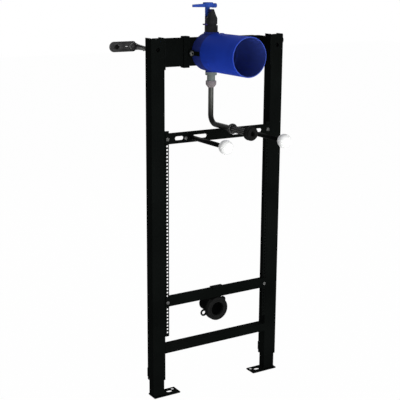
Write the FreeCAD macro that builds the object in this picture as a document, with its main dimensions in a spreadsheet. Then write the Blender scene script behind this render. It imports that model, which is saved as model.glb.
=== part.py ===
"""Urinal installation frame for a dry wall, built as a parametric document.

Lengths are millimetres. +Z is up and +Y points to the wall behind the frame. The origin lies on the
floor, under the axis of the left leg. Depths below are counted from the front face of the uprights,
and widths from the middle of the frame, because that is how such a frame is dimensioned.
"""
import FreeCAD, Part
import math
import os
import re

import Sketcher

SIZES = {
    # Uprights: U profiles of folded sheet, open to the wall
    "frame_width": 500.0,
    "upright_width": 48.5,
    "upright_depth": 37.0,
    "upright_wall": 2.5,
    "upright_bend": 3.0,
    "upright_top": 1188.0,
    "upright_foot": 55.0,
    "relief_notch": 4.5,
    # Legs and foot plates
    "slide_gap": 0.5,
    "leg_depth": 31.0,
    "leg_wall": 2.5,
    "leg_corner": 3.0,
    "leg_length": 330.0,
    "foot_thickness": 4.0,
    "foot_front": -9.5,
    "foot_depth": 45.0,
    "foot_outer_reach": 23.0,
    "foot_inner_reach": 76.0,
    "foot_corner": 2.0,
    "foot_slot_reach": 45.8,
    "foot_slot_setback": 15.0,
    "foot_slot_length": 22.0,
    "foot_slot_width": 15.0,
    "foot_hole_reach": 63.8,
    "foot_hole_setback": 26.0,
    "foot_hole_radius": 6.5,
    # Clamps that lock the legs, on the open side of the uprights
    "lock_height": 30.0,
    "lock_rise": 25.0,
    "lock_thickness": 3.0,
    "lock_bolt_radius": 4.0,
    "lock_head_width": 13.0,
    "lock_head_height": 5.5,
    "lock_tip_gap": 0.3,
    # Perforated rails
    "rail_reach": 13.5,
    "rail_depth": 18.0,
    "rail_sheet": 2.0,
    "rail_bend": 1.5,
    "rail_foot": 209.0,
    "rail_top": 898.0,
    "rail_hole": 6.0,
    "rail_hole_inset": 7.8,
    "rail_margin": 13.8,
    "rail_pitch": 11.6,
    # Top traverse, set back towards the wall
    "traverse_front": 73.0,
    "traverse_sheet": 3.0,
    "traverse_drop": 7.7,
    "traverse_height": 90.8,
    "traverse_lip": 14.0,
    "traverse_flange_front": 0.5,
    "traverse_bend": 3.0,
    # Crossbars
    "bar_sheet": 2.5,
    "bar_bend": 2.0,
    "bar_flange_depth": 15.0,
    "bar_flange_gap": 1.0,
    "upper_bar_level": 877.0,
    "upper_bar_drop": 17.0,
    "upper_bar_height": 33.5,
    "upper_slot_height": 12.5,
    "stud_slot_inner": 48.5,
    "stud_slot_outer": 117.5,
    "side_slot_inner": 136.0,
    "side_slot_outer": 167.0,
    "lower_bar_level": 332.0,
    "lower_bar_drop": 14.2,
    "lower_bar_height": 34.3,
    "bottom_bar_foot": 148.5,
    "bottom_bar_height": 28.0,
    "bottom_bar_depth": 30.0,
    "bar_screw_head": 5.5,
    "bar_screw_head_height": 2.5,
    "bar_screw_shank": 3.0,
    "bar_screw_length": 10.0,
    # Wall brackets and the adjusters that reach them from the front
    "wall_depth": 115.0,
    "wall_sheet": 3.0,
    "wall_plate_reach": 335.0,
    "wall_plate_height": 32.5,
    "wall_plate_drop": 31.3,
    "wall_hole_radius": 6.5,
    "wall_hole_inset": 26.0,
    "wall_slot_inset": 59.5,
    "wall_slot_length": 14.0,
    "wall_slot_width": 5.0,
    "strap_drop": 32.5,
    "strap_wall_height": 21.0,
    "strap_end_height": 14.0,
    "strap_end_depth": 20.0,
    "tab_reach": 34.0,
    "tab_drop": 13.2,
    "adjuster_drop": 36.0,
    "adjuster_access": 7.0,
    "adjuster_head": 6.5,
    "adjuster_head_height": 8.0,
    "adjuster_washer": 9.0,
    "adjuster_washer_height": 1.6,
    "adjuster_rod": 5.0,
    "adjuster_rod_end": 52.0,
    "adjuster_socket": 6.0,
    "adjuster_socket_depth": 4.5,
    # Flush valve housing
    "housing_drop": 1.4,
    "housing_wall": 3.0,
    "base_radius": 61.5,
    "base_front": 22.0,
    "base_corner": 1.5,
    "base_spigot": 16.0,
    "base_spigot_wall": 2.5,
    "spigot_play": 0.1,
    "sleeve_front": -168.0,
    "sleeve_step": -11.0,
    "sleeve_radius": 62.5,
    "sleeve_collar_radius": 62.0,
    "sleeve_bead": 1.0,
    "water_depth": 51.5,
    "inlet_boss_radius": 24.5,
    "inlet_boss_rise": 64.0,
    "outlet_boss_radius": 18.8,
    "outlet_boss_drop": 64.0,
    "block_radius": 13.0,
    "cartridge_radius": 24.0,
    "cartridge_front": 18.0,
    "cartridge_cap_radius": 17.0,
    "cartridge_cap_front": 6.0,
    # Straps and lugs that hold the housing on the traverse
    "box_clamp_reach": 82.0,
    "box_clamp_width": 20.5,
    "box_clamp_thickness": 5.0,
    "lug_outer_reach": 77.0,
    "lug_thickness": 10.0,
    "lug_height": 20.0,
    "lug_drop": 2.5,
    "lug_finger_thickness": 3.0,
    "lug_finger_height": 13.5,
    "lug_finger_front": 22.0,
    "lug_play": 0.2,
    "lug_screw_reach": 70.0,
    "lug_screw_head": 5.5,
    "lug_screw_height": 3.5,
    # Stop valve above the housing
    "valve_foot_radius": 20.5,
    "valve_radius": 19.2,
    "valve_waist_radius": 16.0,
    "valve_shoulder": 44.8,
    "valve_top": 71.0,
    "valve_top_radius": 6.0,
    "valve_groove_level": 23.0,
    "valve_groove_height": 3.4,
    "supply_radius": 9.3,
    "supply_level": 35.0,
    "supply_depth": 15.0,
    "bonnet_setback": 25.5,
    "bonnet_radius": 8.0,
    "bonnet_top": 49.5,
    "clip_height": 2.4,
    "clip_reach": 17.3,
    "clip_tab_reach": 33.0,
    "clip_tab_width": 6.0,
    "clip_play": 0.1,
    # Handle
    "stem_pin_radius": 4.0,
    "stem_pin_length": 20.0,
    "stem_play": 0.05,
    "stem_radius": 7.0,
    "stem_length": 27.5,
    "stem_lift": 0.3,
    "hub_radius": 14.8,
    "hub_height": 15.5,
    "hub_edge": 2.0,
    "blade_reach": 56.5,
    "blade_root_width": 15.0,
    "blade_tip_width": 9.0,
    "blade_lift": 1.4,
    "blade_root_top": 9.6,
    "blade_tip_top": 7.2,
    "blade_side_room": 1.5,
    "knob_radius": 7.2,
    "knob_reach": 33.2,
    "knob_drop": 2.7,
    # Outlet fitting and flush pipe
    "outlet_collar_radius": 18.9,
    "outlet_collar_height": 10.0,
    "outlet_neck_radius": 13.4,
    "outlet_neck_height": 18.0,
    "outlet_nut_radius": 17.4,
    "outlet_nut_height": 12.0,
    "outlet_nut_taper": 10.0,
    "outlet_nut_end_radius": 10.2,
    "pipe_radius": 8.8,
    "pipe_wall": 1.5,
    "pipe_level": 901.0,
    "pipe_bend_radius": 30.5,
    "pipe_end": 74.0,
    "pipe_insert": 3.0,
    "fit_play": 0.1,
    "pipe_nut_radius": 17.0,
    "pipe_nut_length": 8.0,
    "pipe_nut_rim": 2.5,
    "pipe_nut_recess": 3.0,
    "pipe_nut_collar": 7.0,
    "pipe_nut_collar_radius": 11.0,
    "inlet_tube_radius": 11.0,
    "inlet_tube_wall": 2.0,
    "inlet_tube_end": 178.0,
    "seal_back": 170.0,
    "seal_back_radius": 20.5,
    "seal_radius": 22.4,
    "seal_edge": 3.0,
    "seal_shoulder": 187.8,
    "seal_front": 193.0,
    "seal_lip_radius": 19.3,
    "seal_lip_length": 3.5,
    "seal_bore": 7.2,
    "seal_mouth": 2.0,
    # Threaded studs that carry the bowl
    "stud_spacing": 218.4,
    "stud_radius": 6.0,
    "stud_front": 190.0,
    "stud_tail": 25.0,
    "stud_nut_width": 19.0,
    "stud_nut_height": 8.0,
    "cap_radius": 22.0,
    "cap_front": 230.0,
    # Drain
    "drain_offset": 1.3,
    "drain_level": 269.5,
    "drain_pipe_radius": 29.0,
    "drain_pipe_wall": 2.5,
    "drain_pipe_front": 8.0,
    "drain_spigot_front": 47.0,
    "drain_spigot_radius": 25.0,
    "drain_pipe_end": 78.0,
    "drain_seal_radius": 40.5,
    "drain_seal_bore": 23.5,
    "drain_seal_front": -3.0,
    "drain_seal_end": 12.0,
    "drain_seal_round": 4.0,
    "drain_seal_mouth": 2.0,
    "drain_plate": 3.0,
    "drain_ring_width": 12.0,
    "drain_hanger_width": 44.0,
    "drain_hook_drop": 9.0,
    "drain_ear_reach": 47.5,
    "drain_ear_radius": 12.0,
    "drain_ear_hole": 6.2,
    "drain_ear_drop": 9.5,
    "drain_back_ear_reach": 37.5,
    "drain_back_ear_rise": 24.0,
}

doc = FreeCAD.newDocument("UrinalFrame")
sheet = doc.addObject("Spreadsheet::Sheet", "Sizes")
for row, (name, value) in enumerate(SIZES.items(), start=1):
    sheet.set("A%d" % row, name.replace("_", " "))
    sheet.set("B%d" % row, "%g" % value)
    sheet.setAlias("B%d" % row, name)
doc.recompute()

sub_parts = []


def formula(text):
    """Turns the size names in a formula into references to the sheet."""
    def reference(word):
        return "Sizes." + word.group() if word.group() in SIZES else word.group()
    return re.sub(r"[a-z][a-z0-9_]*", reference, str(text))


# Places that many pieces share
MIDDLE = "(frame_width / 2 - upright_width / 2)"
FRONT = "(-(upright_wall + slide_gap + leg_depth / 2))"
INNER_FACE = "(frame_width / 2 - upright_width)"
LEG_WIDTH = "(upright_width - 2 * (upright_wall + slide_gap))"
TRAVERSE_TOP = "(upright_top - traverse_drop)"
TRAVERSE_BOTTOM = "(%s - traverse_height)" % TRAVERSE_TOP
WALL_PLATE_LEVEL = "(upright_top - wall_plate_drop)"
ADJUSTER_LEVEL = "(upright_top - adjuster_drop)"
HOUSING_LEVEL = "(%s - traverse_height / 2 - housing_drop)" % TRAVERSE_TOP
INLET_TOP = "(%s + inlet_boss_rise)" % HOUSING_LEVEL
OUTLET_FOOT = "(%s - outlet_boss_drop)" % HOUSING_LEVEL
COLLAR_FOOT = "(%s - outlet_collar_height)" % OUTLET_FOOT
NECK_FOOT = "(%s - outlet_neck_height)" % COLLAR_FOOT
LUG_LEVEL = "(%s - lug_drop)" % HOUSING_LEVEL
BONNET_FLOOR = "(%s + bonnet_top)" % INLET_TOP
FIRST_HOLE = "(rail_foot + rail_margin)"
UPPER_LEVEL = "(%s + floor((upper_bar_level - %s) / rail_pitch) * rail_pitch)" % (FIRST_HOLE, FIRST_HOLE)
LOWER_LEVEL = "(%s + floor((lower_bar_level - %s) / rail_pitch) * rail_pitch)" % (FIRST_HOLE, FIRST_HOLE)
LOWER_BAR_TOP = "(%s - lower_bar_drop + lower_bar_height)" % LOWER_LEVEL
SCREW_REACH = "(%s - rail_hole_inset)" % INNER_FACE


def bind(target, field, text):
    target.setExpression(field, formula(text))


def new_body(label, x="0", y="0", z="0"):
    """An empty body whose origin lies at width x, depth y and height z."""
    body = doc.addObject("PartDesign::Body", label)
    body.Label = label
    bind(body, "Placement.Base.x", MIDDLE + " + " + x)
    bind(body, "Placement.Base.y", FRONT + " + " + y)
    bind(body, "Placement.Base.z", z)
    sub_parts.append(body)
    return body


def new_sketch(body, role, lift="0"):
    """A sketch on one of the body's own planes, lifted along the plane's normal."""
    sketch = body.newObject("Sketcher::SketchObject", body.Label + "_sketch")
    plane = [part for part in body.Origin.OriginFeatures if part.Role == role][0]
    sketch.AttachmentSupport = [(plane, "")]
    sketch.MapMode = "FlatFace"
    bind(sketch, "AttachmentOffset.Base.z", lift)
    return sketch


def pin_point(sketch, element, point, x, y):
    """Holds a point of the sketch at formulas x and y from the sketch's origin."""
    for kind, text in (("DistanceX", x), ("DistanceY", y)):
        index = sketch.addConstraint(Sketcher.Constraint(kind, -1, 1, element, point, 1.0))
        bind(sketch, "Constraints[%d]" % index, text)


def polygon(sketch, corners):
    """A closed outline through corners that are pairs of formulas."""
    first = sketch.GeometryCount
    count = len(corners)
    rough = [FreeCAD.Vector(math.cos(2 * math.pi * i / count), math.sin(2 * math.pi * i / count), 0)
             for i in range(count)]
    for i in range(count):
        sketch.addGeometry(Part.LineSegment(rough[i], rough[(i + 1) % count]), False)
    for i in range(count):
        following = first + (i + 1) % count
        sketch.addConstraint(Sketcher.Constraint("Coincident", first + i, 2, following, 1))
    for i, (x, y) in enumerate(corners):
        pin_point(sketch, first + i, 1, x, y)


def rectangle(sketch, x_low, y_low, x_high, y_high):
    polygon(sketch, [(x_low, y_low), (x_high, y_low), (x_high, y_high), (x_low, y_high)])


def circle(sketch, x, y, radius):
    element = sketch.addGeometry(Part.Circle(FreeCAD.Vector(0, 0, 0), FreeCAD.Vector(0, 0, 1), 1), False)
    pin_point(sketch, element, 3, x, y)
    index = sketch.addConstraint(Sketcher.Constraint("Radius", element, 1.0))
    bind(sketch, "Constraints[%d]" % index, radius)


def hexagon(sketch, width):
    """A regular hexagon with two flats level, by its width across flats."""
    half = "(%s) / 2" % width
    side = "(%s) / sqrt(3)" % width
    polygon(sketch, [(side, "0"), (side + " / 2", half), ("-" + side + " / 2", half),
                     ("-" + side, "0"), ("-" + side + " / 2", "-" + half), (side + " / 2", "-" + half)])


def pad(body, sketch, length, backwards=False, centred=False):
    feature = body.newObject("PartDesign::Pad", body.Label + "_pad")
    feature.Profile = sketch
    bind(feature, "Length", length)
    feature.Reversed = backwards
    feature.Midplane = centred
    return feature


def pocket(body, sketch, length, backwards=False, centred=False):
    feature = body.newObject("PartDesign::Pocket", body.Label + "_pocket")
    feature.Profile = sketch
    bind(feature, "Length", length)
    feature.Reversed = backwards
    feature.Midplane = centred
    return feature


def revolve(body, sketch, axis="V_Axis"):
    feature = body.newObject("PartDesign::Revolution", body.Label + "_turned")
    feature.Profile = sketch
    feature.ReferenceAxis = (sketch, [axis])
    feature.Angle = 360.0
    return feature


def groove(body, sketch, axis="V_Axis"):
    feature = body.newObject("PartDesign::Groove", body.Label + "_groove")
    feature.Profile = sketch
    feature.ReferenceAxis = (sketch, [axis])
    feature.Angle = 360.0
    return feature


def round_edges(body, radius, wanted):
    """Fillets the edges of the body's tip for which wanted(edge) is true."""
    doc.recompute()
    base = body.Tip
    names = ["Edge%d" % (i + 1) for i, edge in enumerate(base.Shape.Edges) if wanted(edge)]
    feature = body.newObject("PartDesign::Fillet", body.Label + "_fillet")
    feature.Base = (base, names)
    bind(feature, "Radius", radius)
    return feature


def runs_along(edge, direction):
    """True for a straight edge that is parallel to the direction."""
    if edge.Curve.TypeId != "Part::GeomLine":
        return False
    return abs(edge.Curve.Direction.dot(direction)) > 0.999


def start_of(edge):
    return edge.Vertexes[0].Point


X_WAY = FreeCAD.Vector(1, 0, 0)
Z_WAY = FreeCAD.Vector(0, 0, 1)
SIDES = (("left", -1), ("right", 1))


def make_upright(side, sign):
    body = new_body(side + "_upright", "%d * %s" % (sign, MIDDLE), "0", "upright_foot")
    height = "(upright_top - upright_foot)"
    plan = new_sketch(body, "XY_Plane")
    outer = "upright_width / 2"
    inner = "(upright_width / 2 - upright_wall)"
    polygon(plan, [("-" + outer, "0"), (outer, "0"), (outer, "upright_depth"),
                   (inner, "upright_depth"), (inner, "upright_wall"), ("-" + inner, "upright_wall"),
                   ("-" + inner, "upright_depth"), ("-" + outer, "upright_depth")])
    pad(body, plan, height)
    round_edges(body, "upright_bend", lambda edge: runs_along(edge, Z_WAY) and start_of(edge).y < 0.01)
    # Bend reliefs: the web and the flanges are cut back where they meet at the top
    for way in (-1, 1):
        web = new_sketch(body, "XZ_Plane")
        edge = "%d * upright_width / 2" % way
        polygon(web, [(edge, height), ("%s - %d * relief_notch" % (edge, way), height),
                      (edge, height + " - relief_notch")])
        pocket(body, web, "upright_wall")
        flange = new_sketch(body, "YZ_Plane", edge)
        polygon(flange, [("0", height), ("relief_notch", height), ("0", height + " - relief_notch")])
        pocket(body, flange, "upright_wall", backwards=(way < 0))
    access = new_sketch(body, "XZ_Plane")
    circle(access, "0", height + " - adjuster_drop", "adjuster_access")
    pocket(body, access, "upright_wall")
    return body


def make_leg(side, sign):
    body = new_body(side + "_leg", "%d * %s" % (sign, MIDDLE), "-" + FRONT, "foot_thickness")
    section = new_sketch(body, "XY_Plane")
    half = LEG_WIDTH + " / 2"
    rectangle(section, "-" + half, "-leg_depth / 2", half, "leg_depth / 2")
    pad(body, section, "leg_length")
    round_edges(body, "leg_corner", lambda edge: runs_along(edge, Z_WAY))
    inside = new_sketch(body, "XY_Plane", "leg_length")
    hollow = half + " - leg_wall"
    rectangle(inside, "-(%s)" % hollow, "-leg_depth / 2 + leg_wall", hollow, "leg_depth / 2 - leg_wall")
    pocket(body, inside, "leg_length")
    return body


def make_foot_plate(side, sign):
    body = new_body(side + "_foot_plate", "%d * %s" % (sign, MIDDLE), "0", "0")
    outline = new_sketch(body, "XY_Plane")
    outer = "%d * foot_outer_reach" % sign
    inner = "%d * foot_inner_reach" % -sign
    rectangle(outline, outer, "foot_front", inner, "foot_front + foot_depth")
    pad(body, outline, "foot_thickness")
    round_edges(body, "foot_corner", lambda edge: runs_along(edge, Z_WAY))
    slot = new_sketch(body, "XY_Plane", "foot_thickness")
    centre = "%d * foot_slot_reach" % -sign
    straight = "(foot_slot_length - foot_slot_width) / 2"
    rectangle(slot, "%s - %s" % (centre, straight), "foot_slot_setback - foot_slot_width / 2",
              "%s + %s" % (centre, straight), "foot_slot_setback + foot_slot_width / 2")
    pocket(body, slot, "foot_thickness")
    for way in ("-", "+"):
        end = new_sketch(body, "XY_Plane", "foot_thickness")
        circle(end, "%s %s %s" % (centre, way, straight), "foot_slot_setback", "foot_slot_width / 2")
        pocket(body, end, "foot_thickness")
    hole = new_sketch(body, "XY_Plane", "foot_thickness")
    circle(hole, "%d * foot_hole_reach" % -sign, "foot_hole_setback", "foot_hole_radius")
    pocket(body, hole, "foot_thickness")
    return body


def make_leg_clamp(side, sign):
    body = new_body(side + "_leg_clamp", "%d * %s" % (sign, MIDDLE), "upright_depth",
                    "upright_foot + lock_rise")
    bar = new_sketch(body, "XZ_Plane")
    rectangle(bar, "-upright_width / 2", "-lock_height / 2", "upright_width / 2", "lock_height / 2")
    pad(body, bar, "lock_thickness", backwards=True)
    bolt_length = "upright_depth - (upright_wall + slide_gap + leg_depth) - lock_tip_gap"
    bolt = new_sketch(body, "XZ_Plane", bolt_length)
    circle(bolt, "0", "0", "lock_bolt_radius")
    pad(body, bolt, bolt_length + " + lock_thickness / 2", backwards=True)
    head = new_sketch(body, "XZ_Plane", "-lock_thickness")
    hexagon(head, "lock_head_width")
    pad(body, head, "lock_head_height", backwards=True)
    return body


def make_rail(side, sign):
    body = new_body(side + "_rail", "%d * %s" % (sign, INNER_FACE), "0", "rail_foot")
    plan = new_sketch(body, "XY_Plane")
    reach = "%d * rail_reach" % -sign
    sheet_edge = "%d * rail_sheet" % -sign
    polygon(plan, [("0", "0"), (reach, "0"), (reach, "rail_sheet"), (sheet_edge, "rail_sheet"),
                   (sheet_edge, "rail_depth"), ("0", "rail_depth")])
    pad(body, plan, "rail_top - rail_foot")
    round_edges(body, "rail_bend", lambda edge: runs_along(edge, Z_WAY)
                and abs(start_of(edge).x) + start_of(edge).y < 0.01)
    hole = new_sketch(body, "XZ_Plane")
    centre = "%d * rail_hole_inset" % -sign
    rectangle(hole, centre + " - rail_hole / 2", "rail_margin - rail_hole / 2",
              centre + " + rail_hole / 2", "rail_margin + rail_hole / 2")
    punched = pocket(body, hole, "rail_sheet")
    row = body.newObject("PartDesign::LinearPattern", body.Label + "_row")
    row.Originals = [punched]
    row.Direction = (plan, ["N_Axis"])
    steps = "floor((rail_top - rail_foot - 2 * rail_margin) / rail_pitch)"
    bind(row, "Length", steps + " * rail_pitch")
    bind(row, "Occurrences", steps + " + 1")
    body.Tip = row
    return body


def make_top_traverse():
    body = new_body("top_traverse", "0", "0", TRAVERSE_BOTTOM)
    plan = new_sketch(body, "XY_Plane")
    outer = INNER_FACE
    inner = "(%s - traverse_sheet)" % INNER_FACE
    back = "traverse_front + traverse_sheet"
    polygon(plan, [("-" + outer, "traverse_flange_front"), ("-" + inner, "traverse_flange_front"),
                   ("-" + inner, "traverse_front"), (inner, "traverse_front"),
                   (inner, "traverse_flange_front"), (outer, "traverse_flange_front"),
                   (outer, back), ("-" + outer, back)])
    pad(body, plan, "traverse_height")
    back_edge = SIZES["traverse_front"] + SIZES["traverse_sheet"]
    round_edges(body, "traverse_bend", lambda edge: runs_along(edge, Z_WAY)
                and start_of(edge).y > back_edge - 0.01)
    lip_end = "traverse_front + traverse_sheet + traverse_lip"
    for low, high in (("0", "traverse_sheet"), ("traverse_height - traverse_sheet", "traverse_height")):
        lip = new_sketch(body, "YZ_Plane")
        rectangle(lip, back, low, lip_end, high)
        pad(body, lip, "2 * (%s - traverse_lip)" % INNER_FACE, centred=True)
    return body


def make_crossbar(label, level, drop, height):
    """A web in front of the rails, with flanges that reach back between them."""
    body = new_body(label, "0", "0", "%s - %s" % (level, drop))
    web = new_sketch(body, "XZ_Plane")
    rectangle(web, "-" + INNER_FACE, "0", INNER_FACE, height)
    pad(body, web, "bar_sheet")
    flange_end = "(%s - rail_reach - bar_flange_gap)" % INNER_FACE
    for low, high in (("0", "bar_sheet"), (height + " - bar_sheet", height)):
        flange = new_sketch(body, "XZ_Plane")
        rectangle(flange, "-" + flange_end, low, flange_end, high)
        pad(body, flange, "bar_flange_depth - bar_sheet", backwards=True)
    round_edges(body, "bar_bend", lambda edge: runs_along(edge, X_WAY) and start_of(edge).y < -0.01)
    return body


def cut_bar_hole(body, x, z, radius):
    hole = new_sketch(body, "XZ_Plane")
    circle(hole, x, z, radius)
    pocket(body, hole, "bar_sheet", backwards=True)


def make_perforated_crossbar():
    body = make_crossbar("perforated_crossbar", UPPER_LEVEL, "upper_bar_drop", "upper_bar_height")
    level = "upper_bar_drop"
    for way in (-1, 1):
        for inner, outer in (("stud_slot_inner", "stud_slot_outer"), ("side_slot_inner", "side_slot_outer")):
            slot = new_sketch(body, "XZ_Plane")
            near = "%d * (%s + upper_slot_height / 2)" % (way, inner)
            far = "%d * (%s - upper_slot_height / 2)" % (way, outer)
            rectangle(slot, near, level + " - upper_slot_height / 2", far, level + " + upper_slot_height / 2")
            pocket(body, slot, "bar_sheet", backwards=True)
            for end in (near, far):
                cut_bar_hole(body, end, level, "upper_slot_height / 2")
        cut_bar_hole(body, "%d * %s" % (way, SCREW_REACH), level, "bar_screw_shank")
    return body


def make_lower_crossbar():
    body = make_crossbar("lower_crossbar", LOWER_LEVEL, "lower_bar_drop", "lower_bar_height")
    for way in (-1, 1):
        cut_bar_hole(body, "%d * %s" % (way, SCREW_REACH), "lower_bar_drop", "bar_screw_shank")
    return body


def make_bottom_crossbar():
    body = new_body("bottom_crossbar", "0", "0", "bottom_bar_foot")
    section = new_sketch(body, "YZ_Plane")
    polygon(section, [("0", "0"), ("bottom_bar_depth", "0"), ("bottom_bar_depth", "bar_sheet"),
                      ("bar_sheet", "bar_sheet"), ("bar_sheet", "bottom_bar_height - bar_sheet"),
                      ("bottom_bar_depth", "bottom_bar_height - bar_sheet"),
                      ("bottom_bar_depth", "bottom_bar_height"), ("0", "bottom_bar_height")])
    pad(body, section, "2 * " + INNER_FACE, centred=True)
    round_edges(body, "bar_bend", lambda edge: runs_along(edge, X_WAY) and start_of(edge).y < 0.01)
    return body


def make_bar_screws(label, level):
    """Pan-head screws, one at each end of a crossbar, through it and through a hole of the rail behind."""
    body = new_body(label, "-" + SCREW_REACH, "-bar_sheet", level)
    body.AllowCompound = True
    profile = new_sketch(body, "XY_Plane")
    shank = "(bar_screw_shank - fit_play)"
    polygon(profile, [("0", "-bar_screw_head_height"), ("bar_screw_head * 0.7", "-bar_screw_head_height"),
                      ("bar_screw_head", "-bar_screw_head_height / 3"), ("bar_screw_head", "0"),
                      (shank, "0"), (shank, "bar_screw_length"), ("0", "bar_screw_length")])
    screw = revolve(body, profile)
    pair = body.newObject("PartDesign::LinearPattern", label + "_pair")
    pair.Originals = [screw]
    pair.Direction = (profile, ["H_Axis"])
    bind(pair, "Length", "2 * " + SCREW_REACH)
    pair.Occurrences = 2
    body.Tip = pair
    return body


def make_wall_bracket(side, sign):
    """An angled sheet: a plate on the wall, and a strap that runs forward into the upright."""
    body = new_body(side + "_wall_bracket", "0", "wall_depth", WALL_PLATE_LEVEL)
    strap_outer = "(frame_width / 2 - upright_wall)"
    half = "wall_plate_height / 2"
    round_centre = "%d * (wall_plate_reach - wall_plate_height / 2)" % sign
    plate = new_sketch(body, "XZ_Plane")
    rectangle(plate, "%d * (%s - wall_sheet)" % (sign, strap_outer), "-" + half, round_centre, half)
    pad(body, plate, "wall_sheet")
    end = new_sketch(body, "XZ_Plane")
    circle(end, round_centre, "0", half)
    pad(body, end, "wall_sheet")
    hole = new_sketch(body, "XZ_Plane")
    circle(hole, "%d * (wall_plate_reach - wall_hole_inset)" % sign, "0", "wall_hole_radius")
    pocket(body, hole, "wall_sheet", backwards=True)
    slot = new_sketch(body, "XZ_Plane")
    middle = "%d * (wall_plate_reach - wall_slot_inset)" % sign
    rectangle(slot, middle + " - wall_slot_length / 2", "-wall_slot_width / 2",
              middle + " + wall_slot_length / 2", "wall_slot_width / 2")
    pocket(body, slot, "wall_sheet", backwards=True)
    strap = new_sketch(body, "YZ_Plane", "%d * %s" % (sign, strap_outer))
    strap_middle = "(wall_plate_drop - strap_drop)"
    wall_half = "strap_wall_height / 2"
    end_half = "strap_end_height / 2"
    upright_back = "upright_depth - wall_depth"
    strap_front = "strap_end_depth - wall_depth"
    polygon(strap, [("0", strap_middle + " - " + wall_half), ("0", strap_middle + " + " + wall_half),
                    (upright_back, strap_middle + " + " + end_half),
                    (strap_front, strap_middle + " + " + end_half),
                    (strap_front, strap_middle + " - " + end_half),
                    (upright_back, strap_middle + " - " + end_half)])
    pad(body, strap, "wall_sheet", backwards=(sign > 0))
    tab = new_sketch(body, "XZ_Plane", "wall_depth - strap_end_depth")
    screw_level = "(wall_plate_drop - adjuster_drop)"
    rectangle(tab, "%d * %s" % (sign, strap_outer), screw_level + " - tab_drop",
              "%d * (%s - tab_reach)" % (sign, strap_outer), strap_middle + " + " + end_half)
    pad(body, tab, "wall_sheet", backwards=True)
    rod = new_sketch(body, "XZ_Plane", "wall_depth - strap_end_depth")
    circle(rod, "%d * %s" % (sign, MIDDLE), screw_level, "adjuster_rod + stem_play")
    pocket(body, rod, "wall_sheet")
    return body


def make_adjuster(side, sign):
    """A socket screw that holds the bracket's tab, reached through the hole in the upright's web."""
    seat = "(strap_end_depth - adjuster_washer_height)"
    body = new_body(side + "_adjuster", "%d * %s" % (sign, MIDDLE), seat, ADJUSTER_LEVEL)
    profile = new_sketch(body, "XY_Plane")
    washer = "adjuster_washer_height"
    rod_end = "(adjuster_rod_end - %s)" % seat
    polygon(profile, [("0", "-adjuster_head_height"), ("adjuster_head", "-adjuster_head_height"),
                      ("adjuster_head", "0"), ("adjuster_washer", "0"), ("adjuster_washer", washer),
                      ("adjuster_rod", washer), ("adjuster_rod", rod_end), ("0", rod_end)])
    revolve(body, profile)
    socket = new_sketch(body, "XZ_Plane", "adjuster_head_height")
    hexagon(socket, "adjuster_socket")
    pocket(body, socket, "adjuster_socket_depth")
    return body


def chord(radius):
    """Distance from the housing's axis at which its inner wall meets the rim of an upright cylinder."""
    return "sqrt((base_radius - housing_wall)^2 - %s^2)" % radius


def make_housing_base():
    body = new_body("housing_base", "0", "0", HOUSING_LEVEL)
    spigot_outer = "(sleeve_collar_radius - housing_wall - spigot_play)"
    spigot_front = "(base_front - base_spigot)"
    solid = new_sketch(body, "XY_Plane")
    polygon(solid, [("0", "traverse_front"), ("base_radius - base_corner", "traverse_front"),
                    ("base_radius", "traverse_front - base_corner"), ("base_radius", "base_front"),
                    (spigot_outer, "base_front"), (spigot_outer, spigot_front), ("0", spigot_front)])
    revolve(body, solid)
    inlet = new_sketch(body, "XY_Plane", "inlet_boss_rise")
    circle(inlet, "0", "water_depth", "inlet_boss_radius")
    pad(body, inlet, "inlet_boss_rise - " + chord("inlet_boss_radius"), backwards=True)
    outlet = new_sketch(body, "XY_Plane", "-outlet_boss_drop")
    circle(outlet, "0", "water_depth", "outlet_boss_radius")
    pad(body, outlet, "outlet_boss_drop - " + chord("outlet_boss_radius"))
    hollow = new_sketch(body, "XY_Plane")
    inner = "(base_radius - housing_wall)"
    spigot_inner = "(%s - base_spigot_wall)" % spigot_outer
    polygon(hollow, [("0", "traverse_front - housing_wall"), (inner, "traverse_front - housing_wall"),
                     (inner, "base_front + 2 * housing_wall"), (spigot_inner, "base_front + housing_wall"),
                     (spigot_inner, spigot_front), ("0", spigot_front)])
    groove(body, hollow)
    return body


def make_housing_sleeve():
    body = new_body("housing_sleeve", "0", "0", HOUSING_LEVEL)
    profile = new_sketch(body, "XY_Plane")
    polygon(profile, [("sleeve_collar_radius - housing_wall", "base_front"),
                      ("sleeve_collar_radius", "base_front"), ("sleeve_collar_radius", "sleeve_step"),
                      ("sleeve_radius", "sleeve_step - sleeve_bead"),
                      ("sleeve_radius", "sleeve_front + sleeve_bead"),
                      ("sleeve_radius - sleeve_bead", "sleeve_front"),
                      ("sleeve_radius - housing_wall", "sleeve_front"),
                      ("sleeve_radius - housing_wall", "sleeve_step - sleeve_bead"),
                      ("sleeve_collar_radius - housing_wall", "sleeve_step")])
    revolve(body, profile)
    return body


def make_flow_block():
    """The passage inside the housing, with the blanked cartridge seat that faces the opening."""
    body = new_body("flow_block", "0", "water_depth", HOUSING_LEVEL)
    column = new_sketch(body, "XY_Plane")
    circle(column, "0", "0", "block_radius")
    pad(body, column, "2 * (%s - fit_play)" % chord("block_radius"), centred=True)
    seat = new_sketch(body, "XZ_Plane")
    circle(seat, "0", "0", "cartridge_radius")
    pad(body, seat, "water_depth - cartridge_front")
    cap = new_sketch(body, "XZ_Plane")
    hexagon(cap, "2 * cartridge_cap_radius")
    pad(body, cap, "water_depth - cartridge_cap_front")
    return body


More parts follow.
